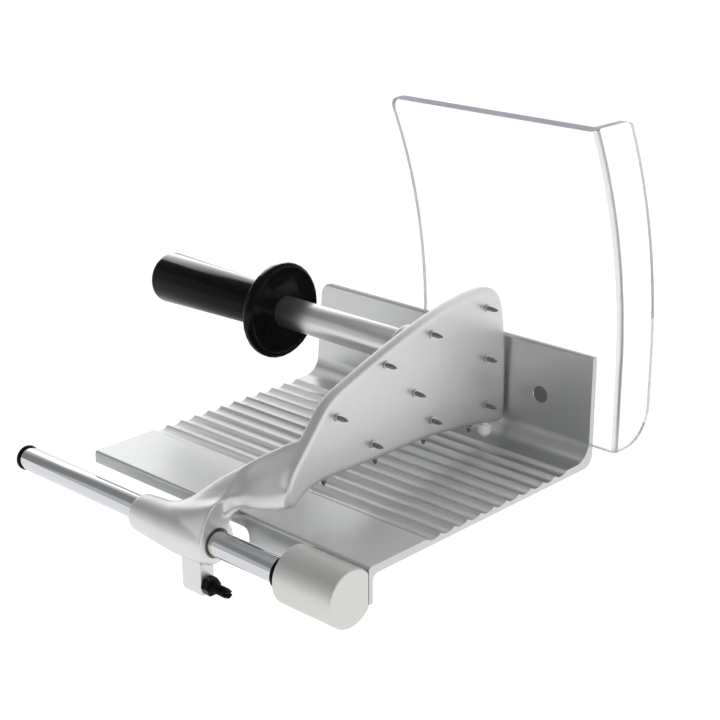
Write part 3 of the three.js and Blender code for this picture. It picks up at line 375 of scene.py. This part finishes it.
LONG_GRAIN = (0.02, 1, 1)
ROUND_GRAIN = (1, 0.1, 0.1)
UPRIGHT_GRAIN = (1, 1, 0.2)
ACRYLIC_IOR = 1.49


def tray_metal():
    return finish_material("anodised_tray", colours().tray, roughness=0.38, metallic=0.96,
                           grain_scale=900, grain_depth=0.006 * MM, stretch=LONG_GRAIN)


def casting_metal():
    return finish_material("satin_casting", colours().casting, roughness=0.42, metallic=0.96,
                           grain_scale=1400, grain_depth=0.012 * MM, tint=0.12, handling_scale=24)


def bracket_metal():
    return finish_material("blasted_bracket", colours().bracket, roughness=0.45, metallic=0.9,
                           grain_scale=2600, grain_depth=0.03 * MM, tint=0.04)


def tube_metal():
    return finish_material("drawn_tube", colours().tube, roughness=0.28, metallic=0.94,
                           grain_scale=1600, grain_depth=0.004 * MM, stretch=LONG_GRAIN,
                           spread=0.03, tint=0.03)


def chrome():
    return finish_material("chrome_plate", colours().chrome, roughness=0.07, metallic=1.0,
                           grain_scale=2200, grain_depth=0.0008 * MM, stretch=ROUND_GRAIN,
                           spread=0.05, tint=0.02)


def stainless():
    return finish_material("turned_stainless", colours().stainless, roughness=0.24, metallic=1.0,
                           grain_scale=2500, grain_depth=0.004 * MM)


def spike_steel():
    return finish_material("spike_steel", colours().spike, roughness=0.11, metallic=1.0,
                           grain_scale=2500, grain_depth=0.004 * MM)


def bronze():
    return finish_material("bush_bronze", colours().bronze, roughness=0.34, metallic=0.9,
                           grain_scale=2000, grain_depth=0.004 * MM)


def black_plastic():
    return finish_material("gloss_black_plastic", colours().plastic, roughness=0.17, metallic=0.0,
                           grain_scale=900, grain_depth=0.004 * MM, spread=0.10, tint=0.3,
                           Specular_IOR_Level=0.13)


def black_steel():
    return finish_material("blackened_steel", colours().black_steel, roughness=0.32, metallic=0.0,
                           grain_scale=1800, grain_depth=0.01 * MM, tint=0.3, Specular_IOR_Level=0.10)


def plug_steel():
    return finish_material("dull_screw_head", colours().plug_steel, roughness=0.5, metallic=0.85,
                           grain_scale=2400, grain_depth=0.02 * MM, tint=0.3)


def rubber():
    return finish_material("soft_rubber", colours().rubber, roughness=0.62, metallic=0.0,
                           grain_scale=1500, grain_depth=0.03 * MM, tint=0.3, Specular_IOR_Level=0.05)


def foot_plastic():
    return finish_material("foot_plastic", colours().foot, roughness=0.34, metallic=0.0,
                           grain_scale=700, grain_depth=0.01 * MM, tint=0.04)


def clear_plastic():
    return finish_material("clear_guard", colours().guard, roughness=0.012, metallic=0.0,
                           grain_scale=40, grain_depth=0.012 * MM, spread=0.02, tint=0.01, handling_scale=18,
                           Transmission_Weight=1.0, IOR=ACRYLIC_IOR)


# Painted refraction streak: the bend's faces get a frosted, tinted finish that stands for light bent through
# the moulding, not a different plastic.
def bend_streak_paint():
    return finish_material("guard_bend_streak", colours().guard_bend_streak, roughness=0.3, metallic=0.0,
                           grain_scale=60, grain_depth=0.01 * MM, tint=0.05,
                           Transmission_Weight=0.6, IOR=ACRYLIC_IOR)


def rim_plastic():
    return finish_material("guard_rim", colours().guard_rim, roughness=0.34, metallic=0.0,
                           grain_scale=1800, grain_depth=0.01 * MM, stretch=UPRIGHT_GRAIN, tint=0.10,
                           Transmission_Weight=0.25, IOR=ACRYLIC_IOR)


# Operators: one for each piece or group of like pieces

class CARRIAGE_OT_tray(bpy.types.Operator):
    """Tray with rounded groove ridges and cut edges"""
    bl_idname = "carriage.tray"
    bl_label = "Tray"

    def execute(self, context):
        tray = solid_copy("carriage_tray", "tray_extrusion")
        round_edges(tray, sizes().tray_edge, segments=2, angle=24)
        smooth(tray, 40)
        keep_flats(tray)
        settle(tray, "carriage_tray", tray_metal())
        return {"FINISHED"}


# The flange is told from the panel a little left of its inside face, where its inside round has ended,
# and a face is upright while its normal's Z is below UPRIGHT
GUARD_WALL = 5 * MM
FLANGE_MARGIN = 2 * MM
UPRIGHT = 0.5
# The third finish is a painted refraction streak for the bend.
GUARD_FINISHES = (clear_plastic, rim_plastic, bend_streak_paint)
CLEAR, RIM, BEND_STREAK = range(len(GUARD_FINISHES))


class CARRIAGE_OT_guard(bpy.types.Operator):
    """Clear guard with polished rounded edges, and a frosted band painted on the bend to stand for its
    refraction streak
    """
    bl_idname = "carriage.guard"
    bl_label = "Hand guard"

    def execute(self, context):
        guard = solid_copy("hand_guard", "guard_moulding")
        guard.data.materials.clear()
        for finish in GUARD_FINISHES:
            guard.data.materials.append(finish())
        flange = span("hand_guard", "X")[1] - GUARD_WALL - FLANGE_MARGIN
        for face in guard.data.polygons:
            if on_streaked_bend(face, flange):
                face.material_index = BEND_STREAK
            else:
                face.material_index = RIM if on_rim(face, flange) else CLEAR
        add_modifier(guard, "BEVEL", width=sizes().guard_edge, segments=3, limit_method="ANGLE",
                     angle_limit=math.radians(40), use_clamp_overlap=True, material=RIM)
        for face in guard.data.polygons:
            upright = abs(face.normal.z) < UPRIGHT
            if face.material_index == RIM and face.center.x > flange and upright:
                face.material_index = CLEAR
        smooth(guard, 40)
        keep_flats(guard)
        settle(guard, "hand_guard", None)
        return {"FINISHED"}


def on_streaked_bend(face, flange):
    """True on the rounded outside of the guard's bend, between its panel and its flange, where the refraction
    streak is painted.
    """
    faces_right = face.normal.x > 0.25
    faces_front = face.normal.y < -0.15
    return face.center.x > flange and faces_right and faces_front


def on_rim(face, flange):
    """True on the guard's cut edge: across the panel's thickness, or across the flange's."""
    if face.center.x < flange:
        return abs(face.normal.y) < 0.6
    return abs(face.normal.x) < 0.15 and abs(face.normal.z) > UPRIGHT


class CARRIAGE_OT_guard_fasteners(bpy.types.Operator):
    """Flush screws through the fence and the nuts behind the guard"""
    bl_idname = "carriage.guard_fasteners"
    bl_label = "Guard screws and nuts"

    def execute(self, context):
        for side in ("right", "left"):
            screw = solid_copy(f"guard_screw_{side}", f"guard_stud_{side}")
            round_edges(screw, sizes().turned_edge)
            smooth(screw)
            settle(screw, f"guard_screw_{side}", plug_steel())
            nut = chamfered_nut(f"guard_nut_{side}", f"guard_hex_{side}", "Y")
            settle(nut, f"guard_nut_{side}", stainless())
        return {"FINISHED"}


NUT_FACE = 0.97
NUT_CHAMFER = 0.6


def chamfered_nut(node, name, axis):
    """A hexagon nut whose corners are turned off at both ends."""
    nut = solid_copy(node, name)
    start, end = span(node, axis)
    corner = widest(node, axis)
    flats = corner * math.cos(math.pi / 6)
    drop = (corner - flats) * NUT_CHAMFER
    reach = corner + CUT_PAST
    blank = turned("nut_blank", [
        (start, 0), (start, flats * NUT_FACE), (start + drop, reach),
        (end - drop, reach), (end, flats * NUT_FACE), (end, 0),
    ], centre_of(node), axis, sizes().sides)
    cut(nut, blank, "INTERSECT")
    smooth(nut, 28)
    return nut


class CARRIAGE_OT_bracket(bpy.types.Operator):
    """Rod bracket with softened edges"""
    bl_idname = "carriage.bracket"
    bl_label = "Rod bracket"

    def execute(self, context):
        bracket = solid_copy("rod_bracket", "bracket_block")
        round_edges(bracket, sizes().bracket_edge, segments=2, angle=30)
        smooth(bracket, 30)
        keep_flats(bracket)
        settle(bracket, "rod_bracket", bracket_metal())
        return {"FINISHED"}


SOCKET_DEPTH = 2 * MM
BRACKET_SOCKET = 1.7 * MM
SET_SCREW_SOCKET = 1.4 * MM


class CARRIAGE_OT_bracket_fasteners(bpy.types.Operator):
    """Socket screws that hold the bracket and the set screw that holds the rod"""
    bl_idname = "carriage.bracket_fasteners"
    bl_label = "Bracket screws"

    def execute(self, context):
        for side in ("right", "left"):
            node = f"bracket_screw_{side}"
            screw = solid_copy(node, f"bracket_bolt_{side}")
            round_edges(screw, sizes().turned_edge)
            head = span(node, "Y")[1]
            cut(screw, hex_key(centre_of(node), "Y", head - SOCKET_DEPTH, head + CUT_PAST, BRACKET_SOCKET))
            smooth(screw)
            settle(screw, node, stainless())
        node = "rod_set_screw"
        screw = solid_copy(node, "rod_grub_screw")
        foot = span(node, "Z")[0]
        cut(screw, hex_key(centre_of(node), "Z", foot - CUT_PAST, foot + SOCKET_DEPTH, SET_SCREW_SOCKET))
        smooth(screw)
        settle(screw, node, black_steel())
        return {"FINISHED"}


def hex_key(centre, axis, start, end, radius):
    """A six-sided bar to cut a socket with."""
    along = AXES[axis]
    middle = centre + along * ((start + end) / 2 - centre.dot(along))
    turn = along.to_track_quat("Z", "Y").to_euler()
    select_only(None)
    bpy.ops.mesh.primitive_cylinder_add(vertices=6, radius=radius, depth=end - start,
                                        location=middle, rotation=turn)
    bpy.ops.object.transform_apply(location=True, rotation=True)
    return bpy.context.object


ROD_BORE = 2 / 3
CAP_RIM = 4 * MM
CAP_CROWN = 2 * MM
CAP_STEPS = 10
BUFFER_ROUND = 1 * MM
BUSH_EDGE = 0.15 * MM


class CARRIAGE_OT_rod(bpy.types.Operator):
    """Chromed guide rod, its end cap and its rubber buffer"""
    bl_idname = "carriage.rod"
    bl_label = "Rod, cap and buffer"

    def execute(self, context):
        sides = sizes().sides
        edge = sizes().turned_edge
        centre = centre_of("pusher_rod")
        start, end = span("pusher_rod", "X")
        outer = widest("pusher_rod", "X")
        bore = outer * ROD_BORE
        rod = ring("rod_bar", start, end, bore, outer, centre, sides)
        round_edges(rod, edge)
        smooth(rod)
        settle(rod, "pusher_rod", chrome())

        start, end = span("rod_end_cap", "X")
        radius = widest("rod_end_cap", "X")
        rim = start + CAP_RIM
        stem = bore - FIT
        turns = [math.pi / 2 * i / CAP_STEPS for i in range(CAP_STEPS + 1)]
        dome = [(start + CAP_CROWN * (1 - math.cos(turn)), radius * math.sin(turn)) for turn in turns]
        profile = [*dome, (rim, radius), (rim, stem), (end, stem), (end, 0)]
        cap = turned("rod_cap", profile, centre, "X", sides)
        round_edges(cap, edge, angle=50)
        smooth(cap)
        settle(cap, "rod_end_cap", black_plastic())

        start, end = span("rod_buffer", "X")
        buffer = ring("rod_bumper", start, end, outer + FIT, widest("rod_buffer", "X"), centre, sides)
        round_edges(buffer, BUFFER_ROUND, segments=4)
        smooth(buffer)
        settle(buffer, "rod_buffer", rubber())
        return {"FINISHED"}


class CARRIAGE_OT_bushes(bpy.types.Operator):
    """Bronze bushes in the hub"""
    bl_idname = "carriage.bushes"
    bl_label = "Hub bushes"

    def execute(self, context):
        inner = widest("pusher_rod", "X") + FIT
        for end_name in ("front", "rear"):
            node = f"hub_bush_{end_name}"
            start, end = span(node, "X")
            outer = widest(node, "X")
            bush = ring(f"bush_ring_{end_name}", start, end, inner, outer, centre_of(node), sizes().sides)
            round_edges(bush, BUSH_EDGE)
            smooth(bush)
            settle(bush, node, bronze())
        return {"FINISHED"}


HANDLE_SOCKET = 8 * MM
LUG_DEPTH = 16.2 * MM
FILLER_GROWTH = 0.2 * MM
BORE_PAST = 3 * MM


class CARRIAGE_OT_casting(bpy.types.Operator):
    """Pusher casting: one soft skin, with its bores machined afterwards"""
    bl_idname = "carriage.casting"
    bl_label = "Pusher casting"

    def execute(self, context):
        casting = solid_copy("pusher_casting", "casting_skin")
        socket = span("handle_tube", "X")[1]
        lug = span("lock_nut", "X")[0]
        # Each bore's centre, radius, start and end, and how far its cutter goes past the end
        bores = (
            (centre_of("pusher_rod"), widest("hub_bush_front", "X") + FIT,
             span("hub_bush_rear", "X")[0], span("hub_bush_front", "X")[1], BORE_PAST),
            (centre_of("handle_tube"), widest("handle_tube", "X") + FIT,
             socket - HANDLE_SOCKET, socket + CUT_PAST, 0),
            (centre_of("stop_screw"), widest("stop_screw", "X") + FIT,
             lug - LUG_DEPTH, lug - FIT, BORE_PAST),
        )
        fillers = [bar("filler", start, end, radius + FILLER_GROWTH, centre, SMALL_SIDES)
                   for centre, radius, start, end, past in bores]
        select_only(casting)
        for filler in fillers:
            filler.select_set(True)
        bpy.ops.object.join()
        add_modifier(casting, "REMESH", mode="VOXEL", voxel_size=sizes().casting_cell, adaptivity=0)
        add_modifier(casting, "SMOOTH", factor=0.5, iterations=sizes().casting_softness)
        for centre, radius, start, end, past in bores:
            cut(casting, bar("cutter", start - BORE_PAST, end + past, radius, centre, sizes().sides))
        smooth(casting, 40)
        settle(casting, "pusher_casting", casting_metal())
        return {"FINISHED"}


SPIKE_STEM = 4.5 * MM
SPIKE_SEAT = 1 * MM
SPIKE_PIN = 0.66
# Height above the plate and share of the collar's radius, then share of the pin's rise and of its radius
SPIKE_COLLAR = ((0.1 * MM, SPIKE_PIN), (0.2 * MM, 1.0), (0.6 * MM, 1.0), (0.8 * MM, 0.96))
SPIKE_OGIVE = ((0.1, 1.0), (0.48, 1.0), (0.62, 0.92), (0.75, 0.74), (0.86, 0.50), (0.94, 0.28), (0.985, 0.1))
COLLAR_BEYOND = 1.02
PIN, COLLAR = range(2)


class CARRIAGE_OT_spikes(bpy.types.Operator):
    """Pointed spikes on the pusher's face and lower edge"""
    bl_idname = "carriage.spikes"
    bl_label = "Spikes"

    def execute(self, context):
        for kind, axis, way, count in (("face", "X", 1, 9), ("edge", "Z", -1, 4)):
            first = f"{kind}_spike_1"
            start, end = span(first, axis)
            radius = widest(first, axis)
            tip, root = (end, start) if way > 0 else (start, end)
            base = root + way * SPIKE_STEM
            rise = abs(tip - base)
            pin = radius * SPIKE_PIN
            seat = base - way * SPIKE_SEAT
            profile = [(seat, 0), (seat, pin)]
            profile += [(base + way * above, radius * width) for above, width in SPIKE_COLLAR]
            profile += [(base + way * rise * share, pin * width) for share, width in SPIKE_OGIVE]
            profile.append((tip, 0))
            spike = turned(f"{kind}_point_1", profile, centre_of(first), axis, SMALL_SIDES)
            spike.data.materials.append(spike_steel())
            spike.data.materials.append(casting_metal())
            for face in spike.data.polygons:
                out = face.center - centre_of(first)
                out -= AXES[axis] * out.dot(AXES[axis])
                face.material_index = COLLAR if out.length > pin * COLLAR_BEYOND else PIN
            smooth(spike, 40)
            copies = [spike]
            for i in range(2, count + 1):
                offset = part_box(f"{kind}_spike_{i}")[0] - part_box(first)[0]
                copies.append(copy_to(spike, f"{kind}_point_{i}", offset))
            for i, copy in enumerate(copies, 1):
                settle(copy, f"{kind}_spike_{i}", None)
        return {"FINISHED"}


class CARRIAGE_OT_foot(bpy.types.Operator):
    """Glide foot that rides on the tray's plain strip"""
    bl_idname = "carriage.foot"
    bl_label = "Glide foot"

    def execute(self, context):
        foot = solid_copy("glide_foot", "glide_peg")
        round_edges(foot, sizes().turned_edge, segments=3)
        smooth(foot)
        settle(foot, "glide_foot", foot_plastic())
        return {"FINISHED"}


TUBE_BORE = 0.8
DISC_EDGE = 0.8 * MM


class CARRIAGE_OT_handle(bpy.types.Operator):
    """Handle: tube, hand disc, grip and the stud through them"""
    bl_idname = "carriage.handle"
    bl_label = "Handle"

    def execute(self, context):
        sides = sizes().sides
        edge = sizes().turned_edge
        centre = centre_of("handle_tube")
        start, end = span("handle_tube", "X")
        outer = widest("handle_tube", "X")
        tube = ring("tube_sleeve", start, end, outer * TUBE_BORE, outer, centre, sides)
        round_edges(tube, edge)
        smooth(tube)
        settle(tube, "handle_tube", tube_metal())

        disc = solid_copy("handle_disc", "hand_disc")
        round_edges(disc, DISC_EDGE, segments=3, angle=20)
        smooth(disc)
        settle(disc, "handle_disc", black_plastic())

        grip = solid_copy("handle_grip", "grip_body")
        round_edges(grip, edge, angle=40)
        smooth(grip)
        settle(grip, "handle_grip", black_plastic())

        start, end = span("handle_stud", "X")
        stud = bar("grip_stud", start, end, widest("handle_stud", "X"), centre, sides)
        round_edges(stud, edge)
        smooth(stud)
        settle(stud, "handle_stud", stainless())
        return {"FINISHED"}


THREAD_CREST = (0.4, 0.6)
SLOT_SIZE = (4 * MM, 12 * MM, 1.2 * MM)


class CARRIAGE_OT_stop_screw(bpy.types.Operator):
    """Threaded stop screw with a slot, and its lock nut"""
    bl_idname = "carriage.stop_screw"
    bl_label = "Stop screw and nut"

    def execute(self, context):
        nut = chamfered_nut("lock_nut", "stop_lock_hex", "X")
        settle(nut, "lock_nut", black_steel())

        start, end = span("stop_screw", "X")
        outer = widest("stop_screw", "X")
        pitch = sizes().thread_pitch
        inner = outer - sizes().thread_depth
        profile = [(start, 0), (start, inner)]
        turns = int((end - start - pitch) / pitch)
        for i in range(turns):
            place = start + (i + 0.5) * pitch
            profile.append((place, inner))
            profile += [(place + share * pitch, outer) for share in THREAD_CREST]
        profile += [(start + (turns + 0.5) * pitch, inner), (end, inner), (end, 0)]
        centre = centre_of("stop_screw")
        screw = turned("stop_thread", profile, centre, "X", SMALL_SIDES)
        select_only(None)
        bpy.ops.mesh.primitive_cube_add(size=1, location=centre + AXES["X"] * ((end - start) / 2))
        bpy.ops.transform.resize(value=SLOT_SIZE)
        bpy.ops.object.transform_apply(location=True, scale=True)
        cut(screw, bpy.context.object)
        smooth(screw, 25)
        settle(screw, "stop_screw", black_steel())
        return {"FINISHED"}


class CARRIAGE_OT_stage(bpy.types.Operator):
    """Floor, sky, lamps and the camera"""
    bl_idname = "carriage.stage"
    bl_label = "Stage"

    def execute(self, context):
        lay_floor()
        light_sky()
        hang_lamps()
        set_camera()
        context.scene.view_settings.view_transform = "Standard"
        return {"FINISHED"}


CAMERA_PLACE = Vector((0.6285, -0.6552, 0.3926))
CAMERA_FORWARD = Vector((-0.6433, 0.6869, -0.3381))
CAMERA_UP = Vector((-0.2312, 0.2467, 0.9411))
CAMERA_LENS = 80.4
CAMERA_SENSOR = 36
CAMERA_CLIP = 0.01

# Level of the dim room, and for each brighter side its direction, where it starts and is full, and its level
SKY_DIM = 0.28
SKY_LOBES = (
    (Vector((-0.68, 0.73, 0.0)), 0.4, 0.92, 0.95),
    (Vector((0.90, 0.43, 0.0)), 0.3, 0.95, 0.95),
    (Vector((0.0, 0.0, 1.0)), 0.5, 0.98, 0.45),
    (Vector((-0.67, -0.74, 0.09)), 0.84, 0.95, 0.6),
)
FLOOR_GLOW = 0.70
FLOOR_WHITE = 0.82
FLOOR_RADIUS = 8
FLOOR_GAP = 1 * MM

# Each lamp's name, place, target, width, height and power, the pieces that it is meant for (none: all),
# and whether metal mirrors it
LAMPS = (
    ("back_lamp", (-1.3, 0.9, 0.45), (0, 0, 0.05), 1.5, 0.7, 2.6, (), True),
    ("front_lamp", (0.9, -1.1, 0.7), (0.02, 0, 0.05), 1.2, 1.0, 6.0, (), False),
    ("handle_lamp", (-1.2, 0.8, 0.9), (-0.1, 0, 0.1), 1.3, 1.3, 32.0, ("grip_body", "hand_disc"), True),
    ("tray_lamp", (-0.34, 0.03, 0.28), (-0.1, 0, 0), 0.25, 0.25, 0.1, ("tray_extrusion",), True),
)


def set_camera():
    data = bpy.data.cameras.new("camera")
    data.lens = CAMERA_LENS
    data.sensor_width = CAMERA_SENSOR
    data.clip_start = CAMERA_CLIP
    camera = bpy.data.objects.new("camera", data)
    back = -CAMERA_FORWARD.normalized()
    right = CAMERA_UP.cross(back).normalized()
    up = back.cross(right)
    turn = Matrix((right, up, back)).transposed().to_4x4()
    camera.matrix_world = Matrix.Translation(CAMERA_PLACE) @ turn
    bpy.context.scene.collection.objects.link(camera)
    bpy.context.scene.camera = camera


def seen_directly(tree, path):
    """A mask of the rays that come straight from the camera or through the clear guard."""
    return add_node(tree, "ShaderNodeMath", {
        0: path.outputs["Is Camera Ray"], 1: path.outputs["Is Transmission Ray"],
    }, operation="MAXIMUM").outputs[0]


def lay_floor():
    """A pale floor that shows white to the camera, a little darker in mirrors, and keeps shadows."""
    select_only(None)
    bpy.ops.mesh.primitive_circle_add(vertices=96, radius=FLOOR_RADIUS, fill_type="NGON",
                                      location=(0, 0, CAD_BOX[0].z - FLOOR_GAP))
    floor = bpy.context.object
    floor.name = "floor"
    material = bpy.data.materials.new("pale_floor")
    material.use_nodes = True
    tree = material.node_tree
    tree.nodes.clear()
    paint = add_node(tree, "ShaderNodeBsdfDiffuse", {"Color": (*colours().floor, 1)})
    path = add_node(tree, "ShaderNodeLightPath")
    seen = add_node(tree, "ShaderNodeMath", {0: seen_directly(tree, path), 1: FLOOR_WHITE},
                    operation="MULTIPLY")
    mirrored = add_node(tree, "ShaderNodeMath", {0: path.outputs["Is Glossy Ray"], 1: FLOOR_GLOW},
                        operation="MULTIPLY")
    lift = add_node(tree, "ShaderNodeMath", {0: seen.outputs[0], 1: mirrored.outputs[0]}, operation="MAXIMUM")
    glow = add_node(tree, "ShaderNodeEmission", {"Strength": lift.outputs[0]})
    both = add_node(tree, "ShaderNodeAddShader", {0: paint.outputs[0], 1: glow.outputs[0]})
    out = add_node(tree, "ShaderNodeOutputMaterial")
    tree.links.new(both.outputs[0], out.inputs["Surface"])
    floor.data.materials.append(material)


def sky_lobe(tree, way, towards, start, end, level):
    """Light that swells from nothing to a level as the direction turns towards a side."""
    facing = add_node(tree, "ShaderNodeVectorMath", {0: way, 1: towards}, operation="DOT_PRODUCT")
    return add_node(tree, "ShaderNodeMapRange", {
        "Value": facing.outputs["Value"], "From Min": start, "From Max": end, "To Min": 0.0, "To Max": level},
        interpolation_type="SMOOTHSTEP").outputs["Result"]


def light_sky():
    """A dim room with a bright back and side, a soft ceiling and a low glow; the camera sees white."""
    world = bpy.data.worlds.new("studio")
    bpy.context.scene.world = world
    world.use_nodes = True
    tree = world.node_tree
    tree.nodes.clear()
    way = add_node(tree, "ShaderNodeTexCoord").outputs["Generated"]
    level = SKY_DIM
    for towards, start, end, strength in SKY_LOBES:
        lobe = sky_lobe(tree, way, towards, start, end, strength)
        level = add_node(tree, "ShaderNodeMath", {0: level, 1: lobe}, operation="MAXIMUM").outputs[0]
    sky = add_node(tree, "ShaderNodeBackground", {"Color": (1, 1, 1, 1), "Strength": level})
    white = add_node(tree, "ShaderNodeBackground", {"Color": (1, 1, 1, 1), "Strength": 1.0})
    path = add_node(tree, "ShaderNodeLightPath")
    both = add_node(tree, "ShaderNodeMixShader", {
        0: seen_directly(tree, path), 1: sky.outputs[0], 2: white.outputs[0]})
    out = add_node(tree, "ShaderNodeOutputWorld")
    tree.links.new(both.outputs[0], out.inputs["Surface"])


def hang_lamps():
    for name, place, target, width, height, power, meant_for, mirrored in LAMPS:
        data = bpy.data.lights.new(name, "AREA")
        data.shape = "RECTANGLE"
        data.size = width
        data.size_y = height
        data.energy = power
        lamp = bpy.data.objects.new(name, data)
        lamp.location = place
        lamp.rotation_euler = (Vector(target) - Vector(place)).to_track_quat("-Z", "Y").to_euler()
        lamp.visible_glossy = mirrored
        lamp.visible_camera = False
        if meant_for:
            lamp.light_linking.receiver_collection = pieces(f"{name}_pieces", meant_for)
        bpy.context.scene.collection.objects.link(lamp)


def pieces(name, members):
    """A collection of the pieces that a lamp is meant for."""
    collection = bpy.data.collections.new(name)
    for member in members:
        collection.objects.link(bpy.data.objects[member])
    return collection


OPERATORS = (
    CARRIAGE_OT_tray, CARRIAGE_OT_guard, CARRIAGE_OT_guard_fasteners, CARRIAGE_OT_bracket,
    CARRIAGE_OT_bracket_fasteners, CARRIAGE_OT_rod, CARRIAGE_OT_bushes, CARRIAGE_OT_casting,
    CARRIAGE_OT_spikes, CARRIAGE_OT_foot, CARRIAGE_OT_handle, CARRIAGE_OT_stop_screw, CARRIAGE_OT_stage,
)


class CARRIAGE_PT_panel(bpy.types.Panel):
    """Lists the carriage's pieces, sizes and colours"""
    bl_idname = "CARRIAGE_PT_panel"
    bl_label = "Food carriage"
    bl_space_type = "VIEW_3D"
    bl_region_type = "UI"
    bl_category = "Carriage"

    def draw(self, context):
        column = self.layout.column()
        for operator in OPERATORS:
            column.operator(operator.bl_idname)
        for settings in (context.scene.carriage_sizes, context.scene.carriage_colours):
            box = self.layout.box()
            for key in settings.__annotations__:
                box.prop(settings, key)


CLASSES = (CarriageSizes, CarriageColours, *OPERATORS, CARRIAGE_PT_panel)


def register():
    for cls in CLASSES:
        bpy.utils.register_class(cls)
    bpy.types.Scene.carriage_sizes = PointerProperty(type=CarriageSizes)
    bpy.types.Scene.carriage_colours = PointerProperty(type=CarriageColours)


def unregister():
    del bpy.types.Scene.carriage_colours
    del bpy.types.Scene.carriage_sizes
    for cls in reversed(CLASSES):
        bpy.utils.unregister_class(cls)


def main():
    register()
    for operator in OPERATORS:
        name = operator.bl_idname.removeprefix("carriage.")
        getattr(bpy.ops.carriage, name)()


if __name__ == "__main__":
    main()
